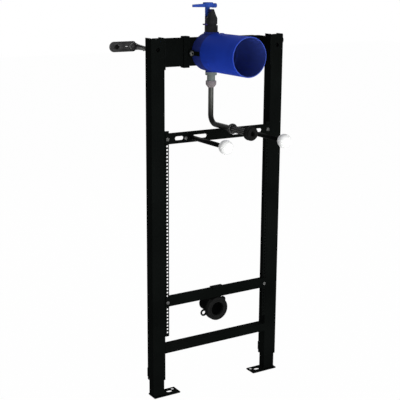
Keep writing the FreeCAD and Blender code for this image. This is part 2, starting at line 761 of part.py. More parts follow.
def make_box_clamp(side, sign):
    """A strap that grips the traverse from below its lower lip to above its upper lip."""
    body = new_body(side + "_box_clamp", "%d * box_clamp_reach" % sign, "traverse_front", TRAVERSE_BOTTOM)
    section = new_sketch(body, "YZ_Plane")
    front = "-box_clamp_thickness"
    back = "traverse_sheet + traverse_lip"
    low = "-box_clamp_thickness"
    high = "traverse_height + box_clamp_thickness"
    polygon(section, [(front, low), (back, low), (back, "0"), ("0", "0"), ("0", "traverse_height"),
                      (back, "traverse_height"), (back, high), (front, high)])
    pad(body, section, "box_clamp_width", centred=True)
    return body


def make_housing_lug(side, sign):
    body = new_body(side + "_housing_lug", "0", "traverse_front - box_clamp_thickness", LUG_LEVEL)
    inner = "(base_radius + lug_play)"
    block = new_sketch(body, "XZ_Plane")
    rectangle(block, "%d * lug_outer_reach" % sign, "-lug_height / 2",
              "%d * %s" % (sign, inner), "lug_height / 2")
    pad(body, block, "lug_thickness")
    finger = new_sketch(body, "XZ_Plane")
    rectangle(finger, "%d * (%s + lug_finger_thickness)" % (sign, inner), "-lug_finger_height / 2",
              "%d * %s" % (sign, inner), "lug_finger_height / 2")
    pad(body, finger, "traverse_front - box_clamp_thickness - lug_finger_front")
    screw = new_sketch(body, "XZ_Plane", "lug_thickness")
    circle(screw, "%d * lug_screw_reach" % sign, "0", "lug_screw_head")
    pad(body, screw, "lug_screw_height")
    return body


def make_stop_valve_body():
    body = new_body("stop_valve_body", "0", "water_depth", INLET_TOP)
    profile = new_sketch(body, "XZ_Plane")
    groove_low = "valve_groove_level - valve_groove_height / 2"
    groove_high = "valve_groove_level + valve_groove_height / 2"
    polygon(profile, [("0", "0"), ("valve_foot_radius", "0"), ("valve_foot_radius", groove_low),
                      ("valve_waist_radius", groove_low), ("valve_waist_radius", groove_high),
                      ("valve_radius", groove_high), ("valve_radius", "valve_shoulder"),
                      ("valve_top_radius", "valve_top"), ("0", "valve_top")])
    revolve(body, profile)
    bonnet = new_sketch(body, "XY_Plane")
    circle(bonnet, "0", "bonnet_setback", "bonnet_radius")
    pad(body, bonnet, "bonnet_top")
    seat = new_sketch(body, "XY_Plane", "bonnet_top")
    circle(seat, "0", "bonnet_setback", "stem_pin_radius + stem_play")
    pocket(body, seat, "stem_pin_length + stem_lift")
    supply = new_sketch(body, "YZ_Plane", "valve_radius")
    circle(supply, "0", "supply_level", "supply_radius")
    pocket(body, supply, "supply_depth")
    return body


def make_valve_clip():
    """A horseshoe spring clip in the groove of the stop valve, open at the front, with a tab on the left."""
    body = new_body("valve_clip", "0", "water_depth",
                    INLET_TOP + " + valve_groove_level - clip_height / 2")
    outline = new_sketch(body, "XY_Plane")
    circle(outline, "0", "0", "clip_reach")
    circle(outline, "0", "0", "valve_waist_radius + clip_play")
    pad(body, outline, "clip_height")
    opening = new_sketch(body, "XY_Plane", "clip_height")
    rectangle(opening, "-clip_reach", "-clip_reach", "clip_reach", "-clip_tab_width / 2")
    pocket(body, opening, "clip_height")
    tab = new_sketch(body, "XY_Plane")
    rectangle(tab, "-clip_tab_reach", "-clip_tab_width / 2",
              "-(valve_waist_radius + 2 * clip_play)", "clip_tab_width / 2")
    pad(body, tab, "clip_height")
    return body


def make_valve_handle():
    body = new_body("valve_handle", "0", "water_depth + bonnet_setback", BONNET_FLOOR + " + stem_lift")
    profile = new_sketch(body, "XZ_Plane")
    hub_top = "stem_length + hub_height"
    polygon(profile, [("0", "-stem_pin_length"), ("stem_pin_radius", "-stem_pin_length"),
                      ("stem_pin_radius", "0"), ("stem_radius", "0"), ("stem_radius", "stem_length"),
                      ("hub_radius - hub_edge", "stem_length"), ("hub_radius", "stem_length + hub_edge"),
                      ("hub_radius", hub_top + " - hub_edge"), ("hub_radius - hub_edge", hub_top),
                      ("0", hub_top)])
    revolve(body, profile)
    blade = new_sketch(body, "XZ_Plane")
    blade_foot = "stem_length + blade_lift"
    polygon(blade, [("-hub_radius / 2", blade_foot), ("-hub_radius / 2", "stem_length + blade_root_top"),
                    ("-blade_reach", "stem_length + blade_tip_top"), ("-blade_reach", blade_foot)])
    pad(body, blade, "blade_root_width", centred=True)
    for way in (-1, 1):
        taper = new_sketch(body, "XY_Plane", "stem_length + blade_root_top")
        side_end = "%d * (blade_root_width / 2 + blade_side_room)" % way
        polygon(taper, [("-hub_radius", side_end), ("-hub_radius", "%d * blade_root_width / 2" % way),
                        ("-blade_reach", "%d * blade_tip_width / 2" % way), ("-blade_reach", side_end)])
        pocket(body, taper, "blade_root_top")
    knob = new_sketch(body, "YZ_Plane", "hub_radius / 2")
    circle(knob, "0", "stem_length + hub_height / 2 - knob_drop", "knob_radius")
    pad(body, knob, "knob_reach - hub_radius / 2")
    return body


def make_outlet_collar():
    body = new_body("outlet_collar", "0", "water_depth", NECK_FOOT)
    profile = new_sketch(body, "XZ_Plane")
    bore = "pipe_radius - pipe_wall"
    top = "outlet_neck_height + outlet_collar_height"
    polygon(profile, [(bore, top), ("outlet_collar_radius", top),
                      ("outlet_collar_radius", "outlet_neck_height"),
                      ("outlet_neck_radius", "outlet_neck_height"), ("outlet_neck_radius", "0"), (bore, "0")])
    revolve(body, profile)
    return body


def make_outlet_nut():
    body = new_body("outlet_nut", "0", "water_depth",
                    NECK_FOOT + " - outlet_nut_height - outlet_nut_taper")
    profile = new_sketch(body, "XZ_Plane")
    bore = "pipe_radius + fit_play"
    polygon(profile, [(bore, "0"), ("outlet_nut_end_radius", "0"), ("outlet_nut_radius", "outlet_nut_taper"),
                      ("outlet_nut_radius", "outlet_nut_taper + outlet_nut_height"),
                      (bore, "outlet_nut_taper + outlet_nut_height")])
    revolve(body, profile)
    return body


def make_flush_pipe():
    """A tube that drops from the outlet nut and bends forward over the perforated crossbar."""
    body = new_body("flush_pipe", "0", "water_depth", NECK_FOOT)
    section = new_sketch(body, "XY_Plane")
    circle(section, "0", "0", "pipe_radius")
    circle(section, "0", "0", "pipe_radius - pipe_wall")
    path = new_sketch(body, "YZ_Plane")
    drop = NECK_FOOT + " - pipe_level"
    run = "water_depth + pipe_end + pipe_insert"
    turn = SIZES["pipe_bend_radius"]
    fall = 4 * turn
    point = FreeCAD.Vector
    path.addGeometry(Part.LineSegment(point(0, 0, 0), point(0, turn - fall, 0)), False)
    bend = Part.Circle(point(-turn, turn - fall, 0), point(0, 0, 1), turn)
    path.addGeometry(Part.ArcOfCircle(bend, -math.pi / 2, 0), False)
    path.addGeometry(Part.LineSegment(point(-turn, -fall, 0), point(-2 * turn, -fall, 0)), False)
    path.addConstraint(Sketcher.Constraint("Coincident", 0, 1, -1, 1))
    path.addConstraint(Sketcher.Constraint("Vertical", 0))
    path.addConstraint(Sketcher.Constraint("Horizontal", 2))
    path.addConstraint(Sketcher.Constraint("Tangent", 0, 2, 1, 2))
    path.addConstraint(Sketcher.Constraint("Tangent", 1, 1, 2, 1))
    radius = path.addConstraint(Sketcher.Constraint("Radius", 1, turn))
    bind(path, "Constraints[%d]" % radius, "pipe_bend_radius")
    pin_point(path, 2, 2, "-(%s)" % run, "-(%s)" % drop)
    tube = body.newObject("PartDesign::AdditivePipe", body.Label + "_tube")
    tube.Profile = section
    tube.Spine = (path, ["Edge1", "Edge2", "Edge3"])
    return body


def make_pipe_nut():
    body = new_body("pipe_nut", "0", "-pipe_end", "pipe_level")
    disc = new_sketch(body, "XZ_Plane")
    circle(disc, "0", "0", "pipe_nut_radius")
    circle(disc, "0", "0", "pipe_radius + fit_play")
    pad(body, disc, "pipe_nut_length")
    collar = new_sketch(body, "XZ_Plane")
    circle(collar, "0", "0", "pipe_nut_collar_radius")
    circle(collar, "0", "0", "pipe_radius + fit_play")
    pad(body, collar, "pipe_nut_collar", backwards=True)
    end = new_sketch(body, "XZ_Plane", "pipe_nut_length")
    circle(end, "0", "0", "inlet_tube_radius + fit_play")
    pocket(body, end, "pipe_nut_length - pipe_insert - fit_play")
    recess = new_sketch(body, "XZ_Plane", "pipe_nut_length")
    circle(recess, "0", "0", "pipe_nut_radius - pipe_nut_rim")
    pocket(body, recess, "pipe_nut_recess")
    return body


def make_inlet_tube():
    body = new_body("inlet_tube", "0", "-(pipe_end + pipe_insert + 2 * fit_play)", "pipe_level")
    section = new_sketch(body, "XZ_Plane")
    circle(section, "0", "0", "inlet_tube_radius")
    circle(section, "0", "0", "inlet_tube_radius - inlet_tube_wall")
    pad(body, section, "inlet_tube_end - pipe_end - pipe_insert - 2 * fit_play")
    return body


def make_inlet_seal():
    """The rubber connector at the end of the flush line, with a lip that enters the bowl."""
    body = new_body("inlet_seal", "0", "0", "pipe_level")
    profile = new_sketch(body, "XY_Plane")
    socket = "inlet_tube_radius + fit_play"
    socket_end = "-(inlet_tube_end + fit_play)"
    polygon(profile, [(socket, "-seal_back"), ("seal_back_radius", "-seal_back"),
                      ("seal_radius", "-(seal_back + seal_edge)"), ("seal_radius", "-seal_shoulder"),
                      ("seal_lip_radius", "-(seal_front - seal_lip_length)"),
                      ("seal_lip_radius", "-seal_front"), ("seal_bore + seal_mouth", "-seal_front"),
                      ("seal_bore", "-(seal_front - seal_mouth)"), ("seal_bore", socket_end),
                      (socket, socket_end)])
    revolve(body, profile)
    return body


def make_stud(side, sign):
    body = new_body(side + "_stud", "%d * stud_spacing / 2" % sign, "0", UPPER_LEVEL)
    rod = new_sketch(body, "XZ_Plane", "-stud_tail")
    circle(rod, "0", "0", "stud_radius")
    pad(body, rod, "stud_front + stud_tail")
    return body


def make_stud_nut(side, sign):
    body = new_body(side + "_stud_nut", "%d * stud_spacing / 2" % sign, "-bar_sheet", UPPER_LEVEL)
    flats = new_sketch(body, "XZ_Plane")
    hexagon(flats, "stud_nut_width")
    circle(flats, "0", "0", "stud_radius + fit_play")
    pad(body, flats, "stud_nut_height")
    return body


def make_stud_cap(side, sign):
    """A ball that guards the end of the stud, with a socket for it."""
    body = new_body(side + "_stud_cap", "%d * stud_spacing / 2" % sign, "0", UPPER_LEVEL)
    ball = body.newObject("PartDesign::AdditiveSphere", body.Label + "_ball")
    bind(ball, "Radius", "cap_radius")
    bind(ball, "AttachmentOffset.Base.y", "-(cap_front - cap_radius)")
    ball.MapMode = "ObjectXY"
    plane = [part for part in body.Origin.OriginFeatures if part.Role == "XY_Plane"][0]
    ball.AttachmentSupport = [(plane, "")]
    socket = new_sketch(body, "XZ_Plane")
    circle(socket, "0", "0", "stud_radius + fit_play")
    pocket(body, socket, "stud_front + fit_play", backwards=True)
    return body


def make_drain_pipe():
    """A short pipe behind the seal, with a narrower spigot for the waste pipe at its back."""
    body = new_body("drain_pipe", "drain_offset", "0", "drain_level")
    profile = new_sketch(body, "XY_Plane")
    bore = "(drain_spigot_radius - drain_pipe_wall)"
    polygon(profile, [(bore, "drain_pipe_front"), ("drain_pipe_radius", "drain_pipe_front"),
                      ("drain_pipe_radius", "drain_spigot_front"),
                      ("drain_spigot_radius", "drain_spigot_front"),
                      ("drain_spigot_radius", "drain_pipe_end"), (bore, "drain_pipe_end")])
    revolve(body, profile)
    return body


def make_drain_seal():
    body = new_body("drain_seal", "drain_offset", "0", "drain_level")
    profile = new_sketch(body, "XY_Plane")
    polygon(profile, [("drain_seal_bore", "drain_seal_front + drain_seal_mouth"),
                      ("drain_seal_bore + drain_seal_mouth", "drain_seal_front"),
                      ("drain_seal_radius - drain_seal_round", "drain_seal_front"),
                      ("drain_seal_radius", "drain_seal_front + drain_seal_round"),
                      ("drain_seal_radius", "drain_seal_end"),
                      ("drain_pipe_radius + fit_play", "drain_seal_end"),
                      ("drain_pipe_radius + fit_play", "drain_pipe_front - fit_play"),
                      ("drain_seal_bore", "drain_pipe_front - fit_play")])
    revolve(body, profile)
    return body


def make_drain_clamp():
    """A ring round the drain pipe that hangs from the lower crossbar by a hook."""
    body = new_body("drain_clamp", "drain_offset", "bar_flange_depth - bar_sheet", "drain_level")
    hanger = new_sketch(body, "XZ_Plane")
    top = "(%s + drain_plate - drain_level)" % LOWER_BAR_TOP
    rectangle(hanger, "-drain_hanger_width / 2", "0", "drain_hanger_width / 2", top)
    pad(body, hanger, "drain_plate", backwards=True)
    ring = new_sketch(body, "XZ_Plane")
    circle(ring, "0", "0", "drain_pipe_radius + drain_ring_width")
    pad(body, ring, "drain_plate", backwards=True)
    ring_middle = "(drain_pipe_radius + drain_ring_width / 2)"
    for sign, reach, drop in ((-1, "drain_ear_reach", "-drain_ear_drop"),
                              (1, "drain_back_ear_reach", "drain_back_ear_rise")):
        across = "%d * sqrt(%s^2 - (%s)^2)" % (sign, reach, drop)
        ear = new_sketch(body, "XZ_Plane")
        circle(ear, across, drop, "drain_ear_radius")
        pad(body, ear, "drain_plate", backwards=True)
        neck = new_sketch(body, "XZ_Plane")
        corners = []
        for distance, way in ((reach, 1), (reach, -1), (ring_middle, -1), (ring_middle, 1)):
            share = "%s / %s" % (distance, reach)
            offset = "%d * drain_ear_radius / %s" % (way, reach)
            corners.append(("(%s) * %s - %s * (%s)" % (across, share, offset, drop),
                            "(%s) * %s + %s * (%s)" % (drop, share, offset, across)))
        polygon(neck, corners)
        pad(body, neck, "drain_plate", backwards=True)
        hole = new_sketch(body, "XZ_Plane")
        circle(hole, across, drop, "drain_ear_hole")
        pocket(body, hole, "drain_plate")
    bore = new_sketch(body, "XZ_Plane")
    circle(bore, "0", "0", "drain_pipe_radius + fit_play")
    pocket(body, bore, "drain_plate")
    hook = new_sketch(body, "YZ_Plane")
    front = "-bar_flange_depth"
    tip = top + " - drain_hook_drop"
    polygon(hook, [("0", top), ("0", top + " - drain_plate"), (front, top + " - drain_plate"),
                   (front, tip), (front + " - drain_plate", tip), (front + " - drain_plate", top)])
    pad(body, hook, "drain_hanger_width", centred=True)
    return body


for side, sign in SIDES:
    make_upright(side, sign)
    make_leg(side, sign)
    make_foot_plate(side, sign)
    make_leg_clamp(side, sign)
    make_rail(side, sign)
    make_wall_bracket(side, sign)
    make_adjuster(side, sign)
    make_box_clamp(side, sign)
    make_housing_lug(side, sign)
    make_stud(side, sign)
    make_stud_nut(side, sign)
    make_stud_cap(side, sign)
make_top_traverse()
make_perforated_crossbar()
make_lower_crossbar()
make_bottom_crossbar()
make_bar_screws("upper_bar_screws", UPPER_LEVEL)
make_bar_screws("lower_bar_screws", LOWER_LEVEL)
make_housing_base()
make_housing_sleeve()
make_flow_block()
make_stop_valve_body()
make_valve_clip()
make_valve_handle()
make_outlet_collar()
make_outlet_nut()
make_flush_pipe()
make_pipe_nut()
make_inlet_tube()
make_inlet_seal()
make_drain_pipe()
make_drain_seal()
make_drain_clamp()
doc.recompute()

for item in doc.Objects:
    if "Invalid" in item.State or "Error" in item.State:
        raise RuntimeError("%s did not compute: %s" % (item.Label, item.State))
    if item.TypeId in ("PartDesign::Pocket", "PartDesign::Groove"):
        if item.Shape.Volume > item.BaseFeature.Shape.Volume - 0.1:
            raise RuntimeError("%s removes nothing" % item.Label)
for body in sub_parts:
    if body.Shape.isNull() or not body.Shape.isValid():
        raise RuntimeError("%s has no valid shape" % body.Label)

os.makedirs("parts", exist_ok=True)
for body in sub_parts:
    body.Shape.exportStep(os.path.join("parts", body.Label + ".step"))
print("%d sub-parts written" % len(sub_parts))
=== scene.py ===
"""Looks of the urinal installation frame: materials, fittings, welds, threads, light and camera.

The scene is in metres. The pieces are written in millimetres, counted from the middle of the frame, the
front face of the uprights and the floor. Most of their places come from the boxes of the solids.
"""

import math

import bmesh
import bpy
from mathutils import Matrix, Vector


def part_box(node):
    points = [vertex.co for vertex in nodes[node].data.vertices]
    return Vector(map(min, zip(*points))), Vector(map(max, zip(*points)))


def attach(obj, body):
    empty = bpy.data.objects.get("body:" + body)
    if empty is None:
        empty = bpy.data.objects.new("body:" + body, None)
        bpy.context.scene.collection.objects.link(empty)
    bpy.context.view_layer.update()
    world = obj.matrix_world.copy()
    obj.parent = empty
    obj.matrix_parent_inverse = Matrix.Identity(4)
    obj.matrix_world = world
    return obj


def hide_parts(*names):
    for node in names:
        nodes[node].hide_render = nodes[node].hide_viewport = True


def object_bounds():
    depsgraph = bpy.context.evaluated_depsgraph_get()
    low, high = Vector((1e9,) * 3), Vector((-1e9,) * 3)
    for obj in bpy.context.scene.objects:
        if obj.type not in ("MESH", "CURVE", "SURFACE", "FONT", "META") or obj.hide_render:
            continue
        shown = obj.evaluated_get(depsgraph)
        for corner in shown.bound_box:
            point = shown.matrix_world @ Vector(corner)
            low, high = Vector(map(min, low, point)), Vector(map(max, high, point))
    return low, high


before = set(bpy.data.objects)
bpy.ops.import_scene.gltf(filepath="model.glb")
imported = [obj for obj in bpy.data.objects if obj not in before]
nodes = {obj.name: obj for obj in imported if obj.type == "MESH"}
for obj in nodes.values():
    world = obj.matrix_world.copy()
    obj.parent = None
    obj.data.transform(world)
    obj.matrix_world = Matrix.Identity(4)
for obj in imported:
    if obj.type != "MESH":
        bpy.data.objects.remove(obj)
cad_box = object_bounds()
scene = bpy.context.scene
sleeve_low, sleeve_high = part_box("housing_sleeve")
ORIGIN = Vector(((sleeve_low.x + sleeve_high.x) / 2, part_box("left_upright")[0].y, 0.0))
SIDES = (("left", -1), ("right", 1))
FORWARD = (0, -1, 0)
UPWARD = (0, 0, 1)


# Materials
# Painted shade: a paint keeps this share of its brightness up to the first height over the piece's foot, in
# metres, and has all of it back at the second
PAINTED_SHADE_SHARE = 0.18
PAINTED_SHADE_UP_TO = 0.035
UNSHADED_FROM = 0.1
# How well a softened normal agrees with the true one where an edge begins to be painted lighter, partly as
# wear and partly as a painted highlight, and where it fully is
PLAIN_EDGE_FLATNESS = 0.99
WORN_AND_LIT_FLATNESS = 0.85
# Where the darker and the lighter paint begin on the scale of the large blotches
DARKER_BELOW = 0.3
LIGHTER_ABOVE = 0.7


def linear(red, green, blue):
    """Linear colour from screen values between 0 and 255."""
    def channel(value):
        value = value / 255
        return value / 12.92 if value <= 0.04045 else ((value + 0.055) / 1.055) ** 2.4
    return (channel(red), channel(green), channel(blue), 1.0)


def shade(colour, factor):
    return tuple(min(1.0, part * factor) for part in colour[:3]) + (1.0,)


def make_material(name, colour, roughness, metallic=0.0, specular=0.5, spread=0.25, blotch=9.0,
                  grain=900.0, grain_height=0.00003, edge_wear_and_highlight=None, wear_and_highlight_radius=0.0012,
                  streak=(1.0, 1.0, 1.0), rough_spread=0.08, painted_shade_at_foot_of=None):
    """A material with uneven colour, uneven gloss and a fine surface grain.

    If asked for, its edges are painted lighter, partly as wear and partly as a painted highlight, and its
    paint is darker towards the foot of a given solid, as painted shade.
    """
    material = bpy.data.materials.new(name)
    material.use_nodes = True
    tree = material.node_tree
    shader = tree.nodes["Principled BSDF"]
    shader.inputs["Metallic"].default_value = metallic
    shader.inputs["Specular IOR Level"].default_value = specular

    def node(kind, **values):
        made = tree.nodes.new(kind)
        for key, value in values.items():
            setattr(made, key, value)
        return made

    def noise(scale, detail, mapping):
        made = node("ShaderNodeTexNoise")
        made.inputs["Scale"].default_value = scale
        made.inputs["Detail"].default_value = detail
        tree.links.new(mapping.outputs["Vector"], made.inputs["Vector"])
        return made

    place = node("ShaderNodeTexCoord")
    mapping = node("ShaderNodeMapping")
    mapping.inputs["Scale"].default_value = streak
    tree.links.new(place.outputs["Object"], mapping.inputs["Vector"])

    large = noise(scale=blotch, detail=4.0, mapping=mapping)
    ramp = node("ShaderNodeValToRGB")
    ramp.color_ramp.elements[0].position = DARKER_BELOW
    ramp.color_ramp.elements[0].color = shade(colour, 1 - spread)
    ramp.color_ramp.elements[1].position = LIGHTER_ABOVE
    ramp.color_ramp.elements[1].color = shade(colour, 1 + spread)
    tree.links.new(large.outputs["Fac"], ramp.inputs["Fac"])
    paint = ramp.outputs["Color"]

    # Lighter edges: partly wear, partly a painted highlight along the edges.
    if edge_wear_and_highlight is not None:
        bevel = node("ShaderNodeBevel", samples=4)
        bevel.inputs["Radius"].default_value = wear_and_highlight_radius
        surface = node("ShaderNodeNewGeometry")
        aligned = node("ShaderNodeVectorMath", operation="DOT_PRODUCT")
        tree.links.new(bevel.outputs["Normal"], aligned.inputs[0])
        tree.links.new(surface.outputs["Normal"], aligned.inputs[1])
        edge = node("ShaderNodeMapRange")
        edge.inputs["From Min"].default_value = PLAIN_EDGE_FLATNESS
        edge.inputs["From Max"].default_value = WORN_AND_LIT_FLATNESS
        tree.links.new(aligned.outputs["Value"], edge.inputs["Value"])
        patchy = noise(scale=90.0, detail=3.0, mapping=mapping)
        worn_and_lit = node("ShaderNodeMath", operation="MULTIPLY")
        tree.links.new(edge.outputs["Result"], worn_and_lit.inputs[0])
        tree.links.new(patchy.outputs["Fac"], worn_and_lit.inputs[1])
        mix = node("ShaderNodeMix", data_type="RGBA")
        tree.links.new(worn_and_lit.outputs["Value"], mix.inputs["Factor"])
        tree.links.new(paint, mix.inputs["A"])
        mix.inputs["B"].default_value = edge_wear_and_highlight
        paint = mix.outputs["Result"]
    # Painted shade: the paint is darker towards the foot of the given solid.
    if painted_shade_at_foot_of is not None:
        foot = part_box(painted_shade_at_foot_of)[0].z
        height = node("ShaderNodeSeparateXYZ")
        tree.links.new(place.outputs["Object"], height.inputs["Vector"])
        fade = node("ShaderNodeMapRange")
        fade.inputs["From Min"].default_value = foot + PAINTED_SHADE_UP_TO
        fade.inputs["From Max"].default_value = foot + UNSHADED_FROM
        fade.inputs["To Min"].default_value = PAINTED_SHADE_SHARE
        tree.links.new(height.outputs["Z"], fade.inputs["Value"])
        darker = node("ShaderNodeVectorMath", operation="SCALE")
        tree.links.new(paint, darker.inputs[0])
        tree.links.new(fade.outputs["Result"], darker.inputs["Scale"])
        paint = darker.outputs["Vector"]
    tree.links.new(paint, shader.inputs["Base Color"])

    gloss = noise(scale=blotch * 4, detail=3.0, mapping=mapping)
    span_of_gloss = node("ShaderNodeMapRange")
    span_of_gloss.inputs["To Min"].default_value = max(0.02, roughness - rough_spread)
    span_of_gloss.inputs["To Max"].default_value = min(1.0, roughness + rough_spread)
    tree.links.new(gloss.outputs["Fac"], span_of_gloss.inputs["Value"])
    tree.links.new(span_of_gloss.outputs["Result"], shader.inputs["Roughness"])

    fine = noise(scale=grain, detail=2.0, mapping=mapping)
    bump = node("ShaderNodeBump")
    bump.inputs["Strength"].default_value = 0.6
    bump.inputs["Distance"].default_value = grain_height
    tree.links.new(fine.outputs["Fac"], bump.inputs["Height"])
    tree.links.new(bump.outputs["Normal"], shader.inputs["Normal"])
    return material


# The lighter edge colours given below are partly wear and partly painted highlights.
POWDER = make_material("powder_coat", linear(11, 13, 12), 0.6, specular=0.002, spread=0.3, blotch=5.0,
                       grain=1400.0, edge_wear_and_highlight=linear(34, 36, 35))
BRACKET = make_material("dull_zinc", linear(50, 50, 50), 0.45, metallic=0.2, specular=0.04, spread=0.4,
                        blotch=60.0, grain=1500.0, edge_wear_and_highlight=linear(150, 150, 150))
# The strap is the same sheet as the plate; its lighter colour is painted light on its side face.
LIT_STRAP_ZINC = make_material("strap_zinc_painted_light", linear(130, 130, 130), 0.45, metallic=0.2, specular=0.04, spread=0.3,
                      blotch=60.0, grain=1500.0, edge_wear_and_highlight=linear(160, 160, 160))
ZINC = make_material("bright_zinc", linear(72, 73, 72), 0.34, metallic=0.6, spread=0.15, blotch=200.0,
                     grain=2500.0, edge_wear_and_highlight=linear(200, 200, 198))
TUBE = make_material("tube_metal", linear(46, 46, 45), 0.55, metallic=0.05, specular=0.04, spread=0.3,
                     blotch=120.0, grain=2500.0, edge_wear_and_highlight=linear(150, 150, 148), wear_and_highlight_radius=0.001)
BLUE = make_material("blue_plastic", linear(37, 68, 188), 0.5, specular=0.004, spread=0.08, blotch=14.0,
                     grain=1100.0, grain_height=0.00001, rough_spread=0.05)
# A greyer blue for the sleeve's inner wall and front rim: painted light inside and a painted sheen on the
# rim.
SLEEVE_INSIDE_PAINTED_LIGHT = make_material("sleeve_inside_painted_light", linear(55, 72, 152), 0.6, specular=0.004, spread=0.12,
                              blotch=14.0, grain=1100.0, grain_height=0.00001)
# A darker copy of the blue plastic: painted shade on the housing's base and on the flow block.
SHADED_BASE_BLUE = make_material("base_plastic_painted_shade", linear(44, 56, 131), 0.55, specular=0.002, spread=0.12,
                          blotch=18.0, grain=1100.0, grain_height=0.00001)
INDIGO = make_material("indigo_plastic", linear(30, 27, 60), 0.55, specular=0.01, spread=0.12, blotch=18.0,
                       grain=1100.0, grain_height=0.00001)
CLIP_VIOLET = make_material("clip_plastic", linear(52, 45, 92), 0.5, specular=0.01, spread=0.1, blotch=40.0,
                            grain=1100.0, grain_height=0.00001)
HANDLE_BLUE = make_material("handle_plastic", linear(47, 74, 158), 0.45, specular=0.02, spread=0.1,
                            blotch=60.0, grain=1600.0, grain_height=0.00001)
VALVE_BLACK = make_material("valve_plastic", linear(41, 41, 42), 0.55, specular=0.01, spread=0.2,
                            blotch=60.0, grain=1800.0, grain_height=0.00002)
LUG_BLACK = make_material("lug_plastic", linear(13, 16, 15), 0.5, specular=0.01, spread=0.25, blotch=80.0,
                          grain=1800.0)
RUBBER = make_material("rubber", linear(22, 22, 22), 0.65, specular=0.015, spread=0.3, blotch=90.0,
                       grain=1900.0, grain_height=0.00004)
SEAL_RUBBER = make_material("seal_rubber", linear(24, 24, 24), 0.62, specular=0.015, spread=0.2,
                            blotch=90.0, grain=1900.0, grain_height=0.00004)
COLLAR = make_material("grey_collar", linear(104, 112, 108), 0.5, specular=0.15, spread=0.1, blotch=80.0,
                       grain=1500.0)
NUT_GREY = make_material("grey_nut", linear(126, 119, 121), 0.5, specular=0.15, spread=0.1, blotch=80.0,
                         grain=1500.0)
# The flush pipe's paint is darker towards its foot, as painted shade on its low run.
PIPE = make_material("flush_pipe_metal", linear(74, 75, 72), 0.38, metallic=0.3, specular=0.03, spread=0.22,
                     blotch=40.0, grain=1200.0, streak=(1.0, 1.0, 0.15), painted_shade_at_foot_of="flush_pipe")
PIPE_NUT = make_material("pipe_nut_metal", linear(44, 44, 44), 0.6, metallic=0.05, specular=0.03,
                         spread=0.25, blotch=120.0, grain=1500.0, edge_wear_and_highlight=linear(190, 190, 190))
WHITE = make_material("white_plastic", linear(242, 243, 242), 0.55, specular=0.1, spread=0.03, blotch=50.0,
                      grain=1600.0, grain_height=0.00002)
STUD = make_material("stud_steel", linear(10, 11, 11), 0.5, specular=0.01, spread=0.2, blotch=200.0,
                     grain=2500.0)
DRAIN_BLACK = make_material("drain_plastic", linear(8, 8, 9), 0.6, specular=0.003, spread=0.25,
                            blotch=40.0, grain=1500.0)

SURFACES = {
    POWDER: ["upright", "rail", "leg", "foot_plate", "leg_clamp", "top_traverse", "perforated_crossbar",
             "lower_crossbar", "bottom_crossbar", "box_clamp", "drain_clamp"],
    BRACKET: ["wall_bracket"],
    ZINC: ["upper_bar_screws", "lower_bar_screws"],
    TUBE: ["inlet_tube"],
    STUD: ["stud", "stud_nut", "adjuster"],
    BLUE: ["housing_sleeve"],
    SHADED_BASE_BLUE: ["housing_base", "flow_block"],
    INDIGO: ["valve_clip"],
    HANDLE_BLUE: ["valve_handle"],
    VALVE_BLACK: ["stop_valve_body"],
    LUG_BLACK: ["housing_lug"],
    RUBBER: ["inlet_seal"],
    SEAL_RUBBER: ["drain_seal"],
    COLLAR: ["outlet_collar"],
    NUT_GREY: ["outlet_nut"],
    PIPE: ["flush_pipe"],
    PIPE_NUT: ["pipe_nut"],
    WHITE: ["stud_cap"],
    DRAIN_BLACK: ["drain_pipe"],
}
for surface, names in SURFACES.items():
    for name in names:
        for full in (name, "left_" + name, "right_" + name):
            if full in nodes:
                mesh = nodes[full].data
                mesh.materials.clear()
                mesh.materials.append(surface)


def paint_light_inside(name, surface):
    """Gives the front rim of a sleeve and the wall that faces its axis a surface of their own: a greyer
    blue, as a painted sheen on the rim and painted light on the inner wall.
    """
    piece = nodes[name]
    piece.data.materials.append(surface)
    low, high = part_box(name)
    centre = (low + high) / 2
    for face in piece.data.polygons:
        spot = piece.matrix_world @ face.center
        outward = Vector((spot.x - centre.x, 0.0, spot.z - centre.z))
        faces_the_axis = outward.dot(face.normal) < -0.5 * outward.length
        faces_the_front = face.normal.y < -0.9
        if faces_the_axis or faces_the_front:
            face.material_index = 1


paint_light_inside("housing_sleeve", SLEEVE_INSIDE_PAINTED_LIGHT)


# Places and meshes
def at(x, y, z):
    return ORIGIN + Vector((x, y, z)) / 1000


def span(node):
    """Lowest and highest corner of a solid, in the millimetres of the pieces."""
    low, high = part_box(node)
    return (low - ORIGIN) * 1000, (high - ORIGIN) * 1000


def middle(node):
    low, high = span(node)
    return (low + high) / 2


def close_mesh(build, name):
    """A mesh from a bmesh, with doubled points joined and its faces turned outwards."""
    mesh = bpy.data.meshes.new(name)
    bmesh.ops.remove_doubles(build, verts=build.verts, dist=0.000001)
    bmesh.ops.recalc_face_normals(build, faces=build.faces)
    build.to_mesh(mesh)
    build.free()
    return mesh


def put_in_scene(name, data):
    placed = bpy.data.objects.new(name, data)
    scene.collection.objects.link(placed)
    return placed


def place_mesh(name, build, surface, body, replaced=(), smooth_angle=35.0):
    """Turns a bmesh into a piece that rides on a body."""
    mesh = close_mesh(build, name)
    mesh.materials.append(surface)
    for face in mesh.polygons:
        face.use_smooth = True
    mesh.set_sharp_from_angle(angle=math.radians(smooth_angle))
    piece = put_in_scene(name, mesh)
    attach(piece, body)
    if replaced:
        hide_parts(*replaced)


def evaluated_mesh(holder):
    bpy.context.view_layer.update()
    graph = bpy.context.evaluated_depsgraph_get()
    return bpy.data.meshes.new_from_object(holder.evaluated_get(graph))


